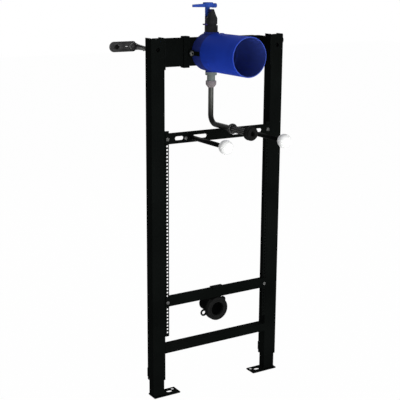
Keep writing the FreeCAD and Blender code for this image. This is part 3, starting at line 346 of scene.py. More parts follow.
def carve(build, cutter):
    """Cuts one closed form out of another."""
    kept = put_in_scene("kept", close_mesh(build, "kept"))
    taken = put_in_scene("taken", close_mesh(cutter, "taken"))
    cut = kept.modifiers.new("cut", "BOOLEAN")
    cut.operation = "DIFFERENCE"
    cut.solver = "EXACT"
    cut.object = taken
    mesh = evaluated_mesh(kept)
    result = bmesh.new()
    result.from_mesh(mesh)
    spent = [mesh, kept.data, taken.data]
    bpy.data.objects.remove(kept)
    bpy.data.objects.remove(taken)
    for data in spent:
        bpy.data.meshes.remove(data)
    return result


def frame_along(direction):
    """Three axes at right angles, the last one along the direction."""
    along = Vector(direction).normalized()
    side = Vector((1, 0, 0)) if abs(along.x) < 0.9 else Vector((0, 0, 1))
    side = (side - along * side.dot(along)).normalized()
    return side, along.cross(side), along


def add_turned(build, start, direction, profile, count=48, shape=None):
    """Turns pairs of radius and distance round an axis; shape may change the radius with the angle."""
    side, other, along = frame_along(direction)
    origin = at(*start)
    rings = []
    for number, (radius, distance) in enumerate(profile):
        centre = origin + along * distance / 1000
        if radius < 0.001:
            rings.append([build.verts.new(centre)] * count)
            continue
        ring = []
        for i in range(count):
            angle = 2 * math.pi * i / count
            reach = (radius if shape is None else shape(number, radius, angle)) / 1000
            ray = side * math.cos(angle) + other * math.sin(angle)
            ring.append(build.verts.new(centre + ray * reach))
        rings.append(ring)
    for low, high in zip(rings, rings[1:]):
        for i in range(count):
            following = (i + 1) % count
            corners = []
            for vert in (low[i], low[following], high[following], high[i]):
                if vert not in corners:
                    corners.append(vert)
            if len(corners) > 2:
                build.faces.new(corners)


def ribbed(first, last, number, height):
    """A radius rule that sinks grooves into the rings from first to last, and so leaves grip ribs."""
    def rule(ring, radius, angle):
        if ring < first or ring > last:
            return radius
        return radius - height * (0.5 + 0.5 * math.cos(number * angle))
    return rule


def flattened(first, last, sides=6, share=1.0):
    """A radius rule that turns the rings from first to last into a polygon, or part of the way there."""
    def rule(ring, radius, angle):
        if ring < first or ring > last:
            return radius
        turn = angle % (2 * math.pi / sides) - math.pi / sides
        return radius * (1 - share + share * math.cos(math.pi / sides) / math.cos(turn))
    return rule


def arc(centre_radius, centre_distance, radius, start, end, count):
    """Profile points on an arc; angles in degrees from the direction away from the axis."""
    points = []
    for i in range(count + 1):
        angle = math.radians(start + (end - start) * i / count)
        points.append((centre_radius + radius * math.cos(angle),
                       centre_distance + radius * math.sin(angle)))
    return points


def add_thread(build, start, direction, radius, length, pitch, depth, count=16):
    """The helical skin of a screw thread; its shape gives share of the pitch and depth under the crest."""
    side, other, along = frame_along(direction)
    origin = at(*start)
    shape = ((0.0, depth), (0.36, 0.0), (0.5, 0.0), (0.86, depth))
    total = int(length / pitch * count)
    rows = []
    for step in range(total + 1):
        angle = 2 * math.pi * step / count
        ray = side * math.cos(angle) + other * math.sin(angle)
        row = []
        for share, inward in shape:
            distance = min(length, max(0.0, (step / count + share) * pitch))
            row.append(build.verts.new(origin + along * distance / 1000 + ray * (radius - inward) / 1000))
        rows.append(row)
    for step in range(total):
        for k in range(3):
            build.faces.new((rows[step][k], rows[step + 1][k], rows[step + 1][k + 1], rows[step][k + 1]))
        if step + 1 + count <= total:
            build.faces.new((rows[step][3], rows[step + 1][3], rows[step + 1 + count][0],
                             rows[step + count][0]))


def add_plate(build, outline, holes, low, high, to_place, edge=0.5):
    """A flat plate with holes and softened edges; outlines are in the plate's own two directions."""
    curve = bpy.data.curves.new("outline", "CURVE")
    curve.dimensions = "2D"
    curve.fill_mode = "BOTH"
    curve.extrude = (high - low) / 2 - edge
    curve.bevel_depth = edge
    curve.bevel_resolution = 1
    curve.offset = -edge
    for points in [outline] + list(holes):
        spline = curve.splines.new("POLY")
        spline.points.add(len(points) - 1)
        for point, (u, v) in zip(spline.points, points):
            point.co = (u, v, 0.0, 1.0)
        spline.use_cyclic_u = True
    holder = put_in_scene("outline", curve)
    mesh = evaluated_mesh(holder)
    first = len(build.verts)
    build.from_mesh(mesh)
    build.verts.ensure_lookup_table()
    centre = (low + high) / 2
    for vert in build.verts[first:]:
        vert.co = at(*to_place(vert.co.x, vert.co.y, centre + vert.co.z))
    bpy.data.objects.remove(holder)
    bpy.data.curves.remove(curve)
    bpy.data.meshes.remove(mesh)


def round_points(u, v, radius, start=0.0, end=360.0, count=24):
    """Points on an arc in a plate's plane, without the last one of a full turn."""
    steps = count if abs(end - start) > 359 else count + 1
    return [(u + radius * math.cos(math.radians(start + (end - start) * i / count)),
             v + radius * math.sin(math.radians(start + (end - start) * i / count))) for i in range(steps)]


def rounded_box(u_low, v_low, u_high, v_high, radius):
    points = []
    for u, v, start in ((u_high - radius, v_high - radius, 0), (u_low + radius, v_high - radius, 90),
                        (u_low + radius, v_low + radius, 180), (u_high - radius, v_low + radius, 270)):
        points += round_points(u, v, radius, start, start + 90, 6)
    return points


def add_weld(build, start, end, radius):
    """A rippled bead of weld metal along a line."""
    length = (Vector(end) - Vector(start)).length
    ring_step = 0.8
    ripple_step = 2.6
    trough = 0.82
    ripple = 0.18
    blunt_end = 0.35
    growth = 6
    count = max(8, int(length / ring_step))
    profile = [(0.0, 0.0)]
    for i in range(count + 1):
        share = i / count
        swell = trough + ripple * abs(math.sin(math.pi * length * share / ripple_step))
        taper = min(1.0, growth * share + blunt_end, growth * (1 - share) + blunt_end)
        profile.append((radius * swell * taper, length * share))
    profile.append((0.0, length))
    add_turned(build, start, Vector(end) - Vector(start), profile, count=8)


def add_screw(build, x, y, z, size, height):
    """A pan-head screw with a hexagon socket, on a washer."""
    add_turned(build, (x, y, z), FORWARD,
               [(0, 0), (size + 0.7, 0), (size + 0.9, 0.3), (size + 0.7, 0.7), (size, 0.7), (size, 1.1),
                (size * 0.86, height * 0.72), (size * 0.6, height), (size * 0.46, height),
                (size * 0.42, height * 0.4), (0, height * 0.35)], 36, flattened(8, 10))


# Bowl fixing: studs with a thread behind and a smooth cover in front, their nuts and washers, and the balls
THREAD_CREST = 6.0
THREAD_ROOT = 5.15
THREAD_PITCH = 1.75
THREAD_DEPTH = 0.95
COVER_RADIUS = 7.4
COVER_RIM = 6.9
BARE_END = 24


def make_stud(side):
    low, high = span(side + "_stud")
    centre = (low + high) / 2
    length = high.y - low.y
    blunt = THREAD_ROOT - 0.75
    rod = bmesh.new()
    add_turned(rod, (centre.x, high.y, centre.z), FORWARD,
               [(0, 0), (blunt, 0), (THREAD_ROOT, 1), (THREAD_ROOT, length - 1), (blunt, length),
                (0, length)], 24)
    cover_start = span(side + "_stud_nut")[0].y - 0.5
    cover_length = cover_start - low.y - BARE_END
    add_thread(rod, (centre.x, high.y - 0.8, centre.z), FORWARD, THREAD_CREST, high.y - cover_start + 1,
               THREAD_PITCH, THREAD_DEPTH)
    add_turned(rod, (centre.x, cover_start, centre.z), FORWARD,
               [(THREAD_ROOT, 0), (COVER_RIM, 0), (COVER_RADIUS, 0.6), (COVER_RADIUS, cover_length - 0.6),
                (COVER_RIM, cover_length), (THREAD_ROOT, cover_length)], 32)
    place_mesh(side + "_stud_threaded", rod, STUD, "frame_body", [side + "_stud"], 50)


def make_stud_nut(side):
    low, high = span(side + "_stud_nut")
    x = (low.x + high.x) / 2
    z = (low.z + high.z) / 2
    washer = 2
    nut = bmesh.new()
    add_turned(nut, (x, high.y, z), FORWARD,
               [(6.2, 0), (11.6, 0), (11.9, 0.3), (11.9, 1.7), (11.6, washer), (6.2, washer)], 36)
    add_turned(nut, (x, high.y - washer, z), FORWARD,
               [(5.6, 0), (9.4, 0), (10.97, 0.8), (10.97, 5.2), (9.4, 6), (6.6, 6), (5.6, 5.2)], 48,
               flattened(2, 3))
    place_mesh(side + "_stud_nut_set", nut, STUD, "frame_body", [side + "_stud_nut"])


def make_ball(side):
    low, high = span(side + "_stud_cap")
    play = 0.02
    radius = (high.z - low.z) / 2 - play
    seam = 0.4
    ball = bmesh.new()
    add_turned(ball, ((low.x + high.x) / 2, low.y + radius + play, (low.z + high.z) / 2), FORWARD,
               [(6.1, -18.6), (6.1, -23.4), (6.9, -23.9), (7.6, -23.4), (7.6, -21.4)]
               + arc(0, 0, radius, -72, -2, 14) + [(radius - seam, 0)] + arc(0, 0, radius, 2, 86, 17)
               + [(0, radius)], 48)
    place_mesh(side + "_stud_ball", ball, WHITE, "frame_body", [side + "_stud_cap"], 40)


for side in ("left", "right"):
    make_stud(side)
    make_stud_nut(side)
    make_ball(side)


# Screws of the crossbars and of the lugs
def make_bar_screws(node):
    """The pan heads of the two screws of a crossbar, a little smaller than the heads of the solids."""
    low, high = span(node)
    head = (high.z - low.z) / 2
    seat = low.y + 2.5
    screws = bmesh.new()
    for way in (-1, 1):
        add_screw(screws, way * (high.x - head), seat, (low.z + high.z) / 2, head - 0.9, 2.8)
    place_mesh(node + "_pan", screws, ZINC, "frame_body", [node])


def make_slot_screws():
    """A screw in each outer slot of the upper crossbar."""
    reach = 126.8
    front = span("perforated_crossbar")[0].y
    level = middle("left_stud").z - 2
    screws = bmesh.new()
    for way in (-1, 1):
        add_screw(screws, way * reach, front, level, 4.2, 2.2)
    place_mesh("slot_screws", screws, ZINC, "frame_body")


def make_lug_screws():
    """A socket head screw on a washer in front of each lug of the housing."""
    reach = 70
    seat = 58.1
    level = middle("left_housing_lug").z
    screws = bmesh.new()
    for way in (-1, 1):
        add_turned(screws, (way * reach, seat, level), FORWARD,
                   [(0, 0), (7.6, 0), (7.6, 1.2), (5.4, 1.2), (6.9, 1.4), (6.9, 4.6), (5.6, 5.2),
                    (3.4, 5.2), (3.2, 3.0), (0, 2.8)], 36, flattened(4, 5))
    place_mesh("lug_screws", screws, ZINC, "frame_body")


make_bar_screws("upper_bar_screws")
make_bar_screws("lower_bar_screws")
make_slot_screws()
make_lug_screws()


# Wall brackets: a plate against the wall, a strap forward from it, a tab inwards from the strap, the
# pressed fold between plate and strap, a rubber sleeve in the plate's hole and a nut on the strap
BRACKET_SHEET = 3
PLATE_HALF = 16.25
STRAP_OUTER = 247.5
STRAP_INNER = STRAP_OUTER - BRACKET_SHEET
STRAP_FRONT = 20
HOLE_INSET = 26


def make_strap(side, sign, front, strap_level):
    """The strap, narrower towards its front and lighter than the plate as painted light, and a black bead
    along its outer face, which paints the shade of a ridge's upper flank.
    """
    drop = 1.4
    narrow_top = strap_level + 6.6 - drop
    narrow_foot = strap_level - 7 - drop
    narrow_until = 40
    wide_from = 88
    root = front + 1.5
    band = bmesh.new()
    outline = [(root, strap_level - 11), (root, strap_level + 13.2), (wide_from, strap_level + 8.6),
               (narrow_until, narrow_top), (STRAP_FRONT, narrow_top), (STRAP_FRONT, narrow_foot),
               (narrow_until, narrow_foot), (wide_from, strap_level - 8.4)]
    add_plate(band, outline, [], STRAP_INNER, STRAP_OUTER, lambda u, v, w: (sign * w, u, v))
    # The strap takes a lighter zinc than the plate, as painted light.
    place_mesh(side + "_bracket_band", band, LIT_STRAP_ZINC, "frame_body")
    # The bead is painted black as the shade of a ridge's upper flank.
    bead = bmesh.new()
    bead_reach = sign * (STRAP_OUTER + 0.1)
    add_weld(bead, (bead_reach, front - 8, strap_level + 4.6), (bead_reach, 42, narrow_top - 3.4), 1.7)
    place_mesh(side + "_bracket_shade_bead", bead, POWDER, "frame_body")


def make_pressed_sheet(side, sign, front, reach, level, strap_level, tab_foot):
    """Plate, tab and fold. The fold rises from the plate to a crest and runs out on the strap."""
    sheet = bmesh.new()
    outline = round_points(reach - PLATE_HALF, level, PLATE_HALF, -90, 90, 24)
    outline += [(STRAP_OUTER + 4.5, level + PLATE_HALF), (STRAP_INNER + 1.8, level + 14.6),
                (STRAP_INNER, level + 11.5), (STRAP_INNER, level - 11.5),
                (STRAP_INNER + 1.8, level - 14.6), (STRAP_OUTER + 4.5, level - PLATE_HALF)]
    slot_half = 0.5
    slot = rounded_box(reach - 64, level - slot_half, reach - 55, level + slot_half, 0.45)
    hole = round_points(reach - HOLE_INSET, level, 6.5)
    add_plate(sheet, outline, [hole, slot], front, front + BRACKET_SHEET,
              lambda u, v, w: (sign * u, w, v))

    tab_end = 213.5
    tab_top = strap_level + 7
    screw_reach = 225.75
    tab = [(STRAP_INNER, tab_foot), (STRAP_INNER, tab_top), (tab_end, tab_top), (tab_end, tab_foot)]
    screw_hole = round_points(screw_reach, middle(side + "_adjuster").z, 5.05)
    add_plate(sheet, tab, [screw_hole], STRAP_FRONT, STRAP_FRONT + BRACKET_SHEET,
              lambda u, v, w: (sign * u, w, v))

    fold_half = 12
    crest = at(sign * 251.5, front - 3.6, strap_level)
    tips = [at(sign * 266, front - 0.2, strap_level), at(sign * 247.0, front - 20, strap_level)]
    for way in (-1, 1):
        foot = at(sign * 248.8, front + 0.3, strap_level + way * fold_half)
        for tip in tips:
            sheet.faces.new([sheet.verts.new(point) for point in (foot, tip, crest)])
    place_mesh(side + "_bracket_pressed", sheet, BRACKET, "frame_body",
               [side + "_wall_bracket"], 30)


def make_crease(side, sign, front, reach, level):
    """Ridges on the plate, bright as painted highlights: two that meet in a point beside the fold, and one
    near the hole.
    """
    height = front - 0.1
    crease = bmesh.new()
    meeting = (sign * 267, height, level + 0.6)
    add_weld(crease, meeting, (sign * 249.5, height, level + 13.4), 1.3)
    add_weld(crease, meeting, (sign * 257.2, height, level - 9.7), 1.3)
    add_weld(crease, (sign * (reach - 31), height, level + 6.5),
             (sign * (reach - 33.5), height, level + 3), 1.4)
    # The ridges take bright zinc as painted highlights.
    place_mesh(side + "_bracket_crease_glint", crease, ZINC, "frame_body")


def make_rubber_sleeve(side, sign, back, reach, level):
    sleeve = bmesh.new()
    add_turned(sleeve, (sign * (reach - HOLE_INSET), back, level), FORWARD,
               [(0, 0.6), (6.4, 0.6), (6.4, 3.2), (7.3, 3.2), (7.6, 3.8), (7.3, 4.4),
                (5.2, 4.8), (4.4, 3.4), (2.2, 3.0), (2.2, 2.0), (0, 2.0)], 36)
    place_mesh(side + "_bracket_sleeve", sleeve, RUBBER, "frame_body")


def make_strap_nut(side, sign, level):
    depth = 48.5
    nut = bmesh.new()
    add_turned(nut, (sign * STRAP_OUTER, depth, level), (sign, 0, 0),
               [(0, 0), (4.6, 0), (5.4, 0.5), (5.4, 2.6), (4.6, 3.1), (2.4, 3.1), (2.2, 2.2), (0, 2.2)], 36,
               flattened(2, 3))
    place_mesh(side + "_bracket_nut", nut, ZINC, "frame_body")


def make_bracket(side, sign):
    low, high = span(side + "_wall_bracket")
    front = high.y - BRACKET_SHEET
    reach = max(abs(low.x), abs(high.x))
    level = high.z - PLATE_HALF
    strap_level = level - 1.2
    make_strap(side, sign, front, strap_level)
    make_pressed_sheet(side, sign, front, reach, level, strap_level, low.z)
    make_crease(side, sign, front, reach, level)
    make_rubber_sleeve(side, sign, high.y, reach, level)
    make_strap_nut(side, sign, strap_level - 4.4)


for side, sign in SIDES:
    make_bracket(side, sign)


# Foot plates with softened edges, and the welds of plates, bars and rails
def make_foot(side, sign):
    """The foot plate, with its slot and hole on the inner side of the leg, and the weld round the leg."""
    body = side + "_leg_body"
    low, high = span(side + "_foot_plate")
    leg_low, leg_high = span(side + "_leg")
    leg_middle = (leg_low.x + leg_high.x) / 2
    slot_at = leg_middle - sign * 45.8
    slot_half = 11
    hole_at = leg_middle - sign * 63.8
    slot = rounded_box(slot_at - slot_half, 7.5, slot_at + slot_half, 22.5, 7.4)
    hole = round_points(hole_at, 26, 6.5)
    plate = bmesh.new()
    add_plate(plate, rounded_box(low.x, low.y, high.x, high.y, 2.0), [slot, hole], low.z, high.z,
              lambda u, v, w: (u, v, w))
    place_mesh(side + "_foot_pressed", plate, POWDER, body, [side + "_foot_plate"], 30)
    bead = bmesh.new()
    level = high.z + 0.2
    corners = [(leg_low.x, leg_low.y), (leg_high.x, leg_low.y), (leg_high.x, leg_high.y),
               (leg_low.x, leg_high.y)]
    for (x1, y1), (x2, y2) in zip(corners, corners[1:] + corners[:1]):
        add_weld(bead, (x1, y1, level), (x2, y2, level), 1.5)
    place_mesh(side + "_foot_welds", bead, POWDER, body)


def make_frame_welds(side, sign):
    """Beads where the bottom bar, the traverse and the rail meet the upright's inner face."""
    face = span("top_traverse")[1].x
    bar_low, bar_high = span("bottom_crossbar")
    bead = bmesh.new()
    for z in (bar_low.z + 1, bar_high.z - 1):
        add_weld(bead, (sign * face, 4, z), (sign * face, bar_high.y - 2, z), 1.3)
    bar_reach = sign * (face - 0.2)
    add_weld(bead, (bar_reach, 3.2, bar_low.z + 4), (bar_reach, 3.2, bar_high.z - 4), 1.5)

    traverse_foot = span("top_traverse")[0].z
    traverse_reach = sign * (face - 0.1)
    traverse_bead = 20
    for rise in (4, 34, 64):
        add_weld(bead, (traverse_reach, 0.9, traverse_foot + rise),
                 (traverse_reach, 0.9, traverse_foot + rise + traverse_bead), 1.2)

    rail_low, rail_high = span(side + "_rail")
    rail_reach = sign * (face - 0.3)
    rail_back = rail_high.y - 0.2
    rail_bead = 18
    rail_step = 80
    for z in range(int(rail_low.z) + 16, int(rail_high.z) - rail_bead, rail_step):
        add_weld(bead, (rail_reach, rail_back, z), (rail_reach, rail_back, z + rail_bead), 1.2)
    place_mesh(side + "_frame_welds", bead, POWDER, "frame_body")


for side, sign in SIDES:
    make_foot(side, sign)
    make_frame_welds(side, sign)


# Flush line: ribbed outlet nut, union ring, fluted tube and lipped seal
LINE_LEVEL = middle("inlet_tube").z


def make_outlet_nut():
    centre = middle("outlet_nut")
    nut = bmesh.new()
    add_turned(nut, (centre.x, centre.y, span("outlet_nut")[0].z), UPWARD,
               [(8.9, 0), (9.9, 0), (10.6, 0.8), (13.4, 3.6), (16.4, 8.4), (17.3, 10.6), (17.4, 12.0),
                (17.4, 20.6), (16.8, 21.6), (15.4, 22), (8.9, 22)], 144, ribbed(5, 8, 24, 0.9))
    place_mesh("outlet_nut_ribbed", nut, NUT_GREY, "frame_body", ["outlet_nut"], 40)


def make_union_ring():
    ring = bmesh.new()
    add_turned(ring, (0, span("pipe_nut")[1].y, LINE_LEVEL), FORWARD,
               [(8.9, 0), (10.2, 0), (11.0, 0.8), (11.0, 7.0), (16.0, 7.0), (17.0, 8.0), (17.0, 14.0),
                (16.4, 15.0), (14.9, 15.0), (14.5, 14.4), (14.5, 12.0), (11.1, 12.0), (11.1, 10.1),
                (8.9, 10.1)], 144, ribbed(4, 6, 30, 0.7))
    place_mesh("union_ring_ribbed", ring, PIPE_NUT, "frame_body", ["pipe_nut"], 40)


def make_inlet_tube():
    low, high = span("inlet_tube")
    length = high.y - low.y
    bore = 9.0
    tube = bmesh.new()
    add_turned(tube, (0, high.y, LINE_LEVEL), FORWARD,
               [(bore, 0), (10.9, 0), (11.0, 8.0), (11.0, length - 8.2), (10.8, length), (bore, length),
                (bore, 0)], 96, ribbed(2, 3, 8, 1.9))
    place_mesh("inlet_tube_fluted", tube, TUBE, "frame_body", ["inlet_tube"], 40)


def make_inlet_seal():
    seal = bmesh.new()
    add_turned(seal, (0, span("inlet_seal")[1].y, LINE_LEVEL), FORWARD,
               [(11.2, 0), (19.8, 0)] + arc(19.4, 3.0, 3.0, -80, 0, 6)
               + [(21.9, 5.2), (21.9, 6.2), (22.4, 7.2), (22.4, 9.4), (21.9, 10.4), (21.9, 11.2),
                  (22.4, 12.2), (22.4, 15.4)] + arc(20.9, 16.3, 1.5, 0, 70, 5)
               + [(20.2, 18.6), (18.9, 19.2), (18.9, 19.8)] + arc(17.9, 21.6, 1.4, 0, 90, 6)
               + [(12.4, 23.0), (11.6, 22.4), (10.2, 22.4), (8.6, 23.0), (7.6, 22.2), (7.2, 20.6),
                  (7.2, 8.2), (11.2, 8.2)], 64)
    place_mesh("inlet_seal_lipped", seal, RUBBER, "frame_body", ["inlet_seal"], 40)


make_outlet_nut()
make_union_ring()
make_inlet_tube()
make_inlet_seal()


# Drain: the seal and the screw of its clamp
def make_drain_seal():
    """A ring with a raised inner lip and sealing lamellae in its bore."""
    low, high = span("drain_seal")
    ring = bmesh.new()
    add_turned(ring, ((low.x + high.x) / 2, high.y, (low.z + high.z) / 2), FORWARD,
               [(29.2, 0), (39.6, 0), (40.5, 1.0)] + arc(36.7, 11.2, 3.8, 0, 90, 8)
               + [(33.6, 15.0), (32.8, 13.9), (30.4, 13.7), (29.6, 14.6)] + arc(28.2, 14.0, 1.0, 20, 90, 4)
               + [(26.4, 15.0), (24.9, 14.2), (23.5, 12.8), (23.5, 10.6), (24.9, 10.0), (23.6, 8.8),
                  (23.6, 7.6), (25.0, 7.0), (23.7, 5.8), (23.7, 4.2), (29.2, 4.2)], 96)
    place_mesh("drain_seal_lipped", ring, SEAL_RUBBER, "frame_body", ["drain_seal"], 40)


def make_ear_screw():
    """The screw in the upper ear of the drain clamp."""
    pipe_middle = middle("drain_seal")
    clamp_back = span("drain_clamp")[1].y
    place = (pipe_middle.x + 28.8, clamp_back + 1, pipe_middle.z + 24)
    screw = bmesh.new()
    add_turned(screw, place, FORWARD,
               [(0, 0), (5.9, 0), (5.9, 4.2), (9.0, 4.2), (9.4, 4.8), (9.4, 6.4), (8.6, 7.6), (4.0, 8.0),
                (3.6, 5.6), (0, 5.4)], 36, flattened(8, 8))
    place_mesh("drain_ear_screw", screw, STUD, "frame_body")


make_drain_seal()
make_ear_screw()


# Stop valve: a body with soft flats and a threaded supply port, a bonnet behind it, a plug and a clip
VALVE_FOOT = span("stop_valve_body")[0].z
VALVE_DEPTH = middle("outlet_nut").y
BONNET_DEPTH = middle("valve_handle").y


def make_valve_body():
    """Foot ring and upper body with a port in its right side, and the foot of the bonnet behind them."""
    body = bmesh.new()
    add_turned(body, (0.5, VALVE_DEPTH, VALVE_FOOT), UPWARD,
               [(0, 0), (19.5, 0), (20.0, 0.6), (20.0, 19.6), (19.2, 21.3), (15.6, 21.3), (15.6, 25.0),
                (0, 25.0)], 96)
    add_turned(body, (1.4, VALVE_DEPTH, VALVE_FOOT), UPWARD,
               [(0, 24.7), (17.3, 24.7), (18.0, 26.0), (18.0, 43.4), (17.2, 45.6), (14.0, 52.0),
                (10.9, 60.0), (8.2, 68.0), (6.9, 71.2), (5.6, 72.0), (0, 72.0)], 96,
               flattened(2, 7, 8, 0.6))
    crest = 9.3
    root = 9.0
    pitch = 1.2
    thread = []
    for turn in range(5):
        start = 3.6 + pitch * turn
        thread += [(crest, start), (root, start + pitch / 2)]
    port = bmesh.new()
    add_turned(port, (22, VALVE_DEPTH, VALVE_FOOT + 35), (-1, 0, 0),
               [(0, 0), (crest, 0)] + thread + [(crest, 9.6), (crest, 17.8), (0, 17.8)], 48)
    body = carve(body, port)
    add_turned(body, (0, BONNET_DEPTH, VALVE_FOOT), UPWARD,
               [(0, 0), (8.6, 0), (8.6, 19.0), (8.0, 20.0), (0, 20.0)], 48)
    place_mesh("stop_valve_moulded", body, VALVE_BLACK, "frame_body",
               ["stop_valve_body"], 30)


def make_bonnet():
    """The tube round the handle's stem, with a groove near its middle."""
    bore = 4.05
    outer = 8.0
    bonnet = bmesh.new()
    add_turned(bonnet, (0, BONNET_DEPTH, VALVE_FOOT), UPWARD,
               [(bore, 29.0), (bore, 49.5), (7.4, 49.5), (outer, 48.9), (outer, 38.4), (7.5, 37.8),
                (7.5, 36.6), (outer, 36.0), (outer, 20.1), (0, 20.1), (0, 29.0), (bore, 29.0)], 48)
    place_mesh("valve_bonnet", bonnet, INDIGO, "frame_body")


def make_plug():
    """The ribbed plug near the top of the body, a little to its left."""
    plug = bmesh.new()
    add_turned(plug, (-4.0, VALVE_DEPTH + 1.0, VALVE_FOOT + 64.6), UPWARD,
               [(0, 0), (7.2, 0), (7.2, 4.6), (6.8, 5.6), (5.8, 6.6), (3.6, 7.0), (0, 7.0)], 48,
               ribbed(1, 2, 8, 0.5))
    place_mesh("valve_plug", plug, INDIGO, "frame_body")


def make_clip():
    """The clip in the groove between the two parts of the body; its grip points to the left."""
    level = VALVE_FOOT + 23.0
    half = 1.2
    first = 168
    last = 188
    fork = round_points(0, 0, 21.0, first, last, 6) + round_points(0, 0, 15.9, last, first, 6)
    clip = bmesh.new()
    add_plate(clip, fork, [], -half, half, lambda u, v, w: (0.5 + u, VALVE_DEPTH + v, level + w), 0.3)
    add_plate(clip, rounded_box(-30, -6.5, -19.8, 6.5, 1.8), [], -0.6, 3.6,
              lambda u, v, w: (u, VALVE_DEPTH + v, level + w), 0.5)
    place_mesh("valve_clip_fork", clip, CLIP_VIOLET, "frame_body", ["valve_clip"])


make_valve_body()
make_bonnet()
make_plug()
make_clip()


# Handle: turned stem and hub, a blade that tapers to the left and a ribbed knob to the right
def make_handle():
    low, high = span("valve_handle")
    stem_foot = low.z + 20
    hub_foot = stem_foot + 27.5
    hub_height = high.z - hub_foot
    hub_radius = (high.y - low.y) / 2
    handle = bmesh.new()
    add_turned(handle, (0, BONNET_DEPTH, low.z), UPWARD,
               [(0, 0), (3.4, 0), (4.0, 0.6), (4.0, 20), (7.4, 20), (7.9, 20.4), (7.9, 26), (7.4, 26.8),
                (7.4, 28.0), (7.9, 28.8), (7.9, 46.6), (9.0, 47.5)] + arc(12.0, 50.3, 2.8, -90, 0, 6)
               + arc(hub_radius - 2.0, 61.0, 2.0, 0, 90, 6)
               + [(6.2, 63.0), (5.6, 62.2), (2.8, 62.2), (2.6, 60.8), (0, 60.8)], 64)
    root = hub_radius - 2
    reach = -low.x
    tip = 4.3
    half_width = 7.5
    blade = [(-6, -half_width), (-root, -half_width)]
    blade += round_points(tip - reach, 0, tip, 250, 110, 12)
    blade += [(-root, half_width), (-6, half_width)]
    blade_height = 10.9
    foot_rise = 0.7
    top_fall = 2.0

    def on_blade(u, v, w):
        """The blade gets thinner from the hub to its tip."""
        share = min(1.0, max(0.0, (-u - root) / (reach - root)))
        foot = foot_rise * share
        top = blade_height - top_fall * share
        return u, BONNET_DEPTH + v, hub_foot + (foot + w / blade_height * (top - foot))

    add_plate(handle, blade, [], 0.0, blade_height, on_blade, 1.0)
    shoulder = rounded_box(6, -8.6, 17.4, 8.6, 2.5)
    add_plate(handle, shoulder, [], 0.6, hub_height - 0.2,
              lambda u, v, w: (u, BONNET_DEPTH + v, hub_foot + w), 1.0)
    knob_start = 10
    knob_level = hub_foot + hub_height / 2 - 2.7
    knob_length = high.x - knob_start
    neck = 6.2
    rim = 7.2
    add_turned(handle, (knob_start, BONNET_DEPTH, knob_level), (1, 0, 0),
               [(0, 0), (6.4, 0), (6.4, 8.2), (rim, 8.8), (rim, 11.4), (neck, 11.9), (neck, 12.9),
                (rim, 13.4), (7.4, knob_length - 2.2), (7.0, knob_length - 0.8), (5.8, knob_length),
                (0, knob_length)], 72, ribbed(7, 8, 18, 0.3))
    place_mesh("handle_moulded", handle, HANDLE_BLUE, "handle_body", ["valve_handle"], 40)


make_handle()


# Housing: three latches over the sleeve's step
def make_latches():
    low, high = span("housing_sleeve")
    level = (low.z + high.z) / 2
    radius = (high.z - low.z) / 2
    step_depth = -11
    latches = bmesh.new()
    for turn in (90, 210, 330):
        angle = math.radians(turn)
        out = Vector((math.cos(angle), 0, math.sin(angle)))
        across = Vector((-math.sin(angle), 0, math.cos(angle)))
        foot = Vector((0, step_depth, level)) + out * (radius - 0.8)
        add_plate(latches, rounded_box(-5, -7, 5, 7, 1.6), [], 0, 2.2,
                  lambda u, v, w: tuple(foot + across * u + Vector((0, v, 0)) + out * w), 0.6)
    place_mesh("sleeve_latches", latches, BLUE, "frame_body")


make_latches()


# Floor and world: white to the camera and in reflections
def direct_rays(tree):
    """A value of 1 for the rays that show the surroundings: to the camera, in gloss and through glass."""
    path = tree.nodes.new("ShaderNodeLightPath")
    seen = path.outputs["Is Camera Ray"]
    for ray in ("Is Glossy Ray", "Is Transmission Ray"):
        either = tree.nodes.new("ShaderNodeMath")
        either.operation = "MAXIMUM"
        tree.links.new(seen, either.inputs[0])
        tree.links.new(path.outputs[ray], either.inputs[1])
        seen = either.outputs["Value"]
    return seen


def add_floor(half, drop, shadow_share):
    """A pale floor that keeps a share of its own shading, and so the object's shadow."""
    mesh = bpy.data.meshes.new("floor")
    corners = [(-half, -half, -drop), (half, -half, -drop), (half, half, -drop), (-half, half, -drop)]
    mesh.from_pydata(corners, [], [(0, 1, 2, 3)])
    material = bpy.data.materials.new("pale_floor")
    material.use_nodes = True
    tree = material.node_tree
    shader = tree.nodes["Principled BSDF"]
    shader.inputs["Base Color"].default_value = (0.9, 0.9, 0.9, 1.0)
    shader.inputs["Roughness"].default_value = 0.9
    white = tree.nodes.new("ShaderNodeEmission")
    share = tree.nodes.new("ShaderNodeMath")
    share.operation = "MULTIPLY"
    share.inputs[1].default_value = 1.0 - shadow_share
    tree.links.new(direct_rays(tree), share.inputs[0])
    mix = tree.nodes.new("ShaderNodeMixShader")
    tree.links.new(share.outputs["Value"], mix.inputs[0])
    tree.links.new(shader.outputs["BSDF"], mix.inputs[1])
    tree.links.new(white.outputs["Emission"], mix.inputs[2])
    tree.links.new(mix.outputs["Shader"], tree.nodes["Material Output"].inputs["Surface"])
    mesh.materials.append(material)
    put_in_scene("floor", mesh)


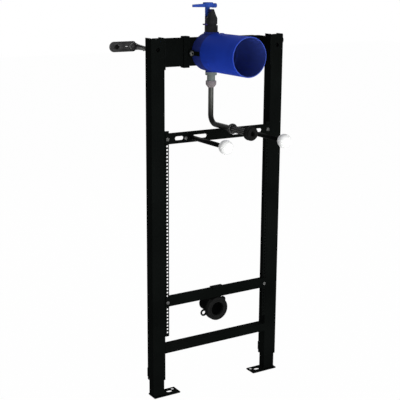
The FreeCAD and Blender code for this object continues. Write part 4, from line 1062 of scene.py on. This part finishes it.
def add_world(strength):
    world = bpy.data.worlds.new("studio")
    scene.world = world
    world.use_nodes = True
    tree = world.node_tree
    lit = tree.nodes["Background"]
    lit.inputs["Color"].default_value = (1.0, 1.0, 1.0, 1.0)
    lit.inputs["Strength"].default_value = strength
    shown = tree.nodes.new("ShaderNodeBackground")
    shown.inputs["Color"].default_value = (1.0, 1.0, 1.0, 1.0)
    mix = tree.nodes.new("ShaderNodeMixShader")
    tree.links.new(direct_rays(tree), mix.inputs[0])
    tree.links.new(lit.outputs["Background"], mix.inputs[1])
    tree.links.new(shown.outputs["Background"], mix.inputs[2])
    tree.links.new(mix.outputs["Shader"], tree.nodes["World Output"].inputs["Surface"])


def add_area_light(name, offset, power, width):
    """A square lamp at an offset from the object's middle, aimed at it."""
    target = (Vector(cad_box[0]) + Vector(cad_box[1])) / 2
    data = bpy.data.lights.new(name, "AREA")
    data.energy = power
    data.size = width
    lamp = put_in_scene(name, data)
    lamp.location = target + Vector(offset)
    lamp.rotation_euler = (-Vector(offset)).to_track_quat("-Z", "Y").to_euler()


add_floor(half=12.0, drop=0.0005, shadow_share=0.015)
add_world(strength=0.3)
add_area_light("key_light", offset=(-0.35, -2.85, 0.15), power=70.0, width=1.6)
add_area_light("fill_light", offset=(2.2, -2.2, 0.8), power=10.0, width=2.0)
add_area_light("back_light", offset=(0.4, 2.6, 1.6), power=24.0, width=2.0)


# Camera
def add_camera(place, lens_mm, yaw, pitch, roll):
    """A camera whose angles are in degrees: yaw from the wall direction to the right, pitch down."""
    yaw, pitch, roll = map(math.radians, (yaw, pitch, roll))
    ahead = Vector((math.sin(yaw) * math.cos(pitch), math.cos(yaw) * math.cos(pitch), -math.sin(pitch)))
    level = Vector((math.cos(yaw), -math.sin(yaw), 0.0))
    down = ahead.cross(level)
    right = math.cos(roll) * level + math.sin(roll) * down
    up = math.sin(roll) * level - math.cos(roll) * down
    lens = bpy.data.cameras.new("photo_camera")
    lens.lens = lens_mm
    lens.sensor_width = 36.0
    camera = put_in_scene("photo_camera", lens)
    axes = Matrix((right, up, -ahead)).transposed().to_4x4()
    camera.matrix_world = Matrix.Translation(place) @ axes
    scene.camera = camera


add_camera(place=Vector((-1.41760, -2.56217, 1.39444)), lens_mm=84.70, yaw=31.72, pitch=13.80, roll=-0.36)
scene.view_settings.view_transform = "Standard"
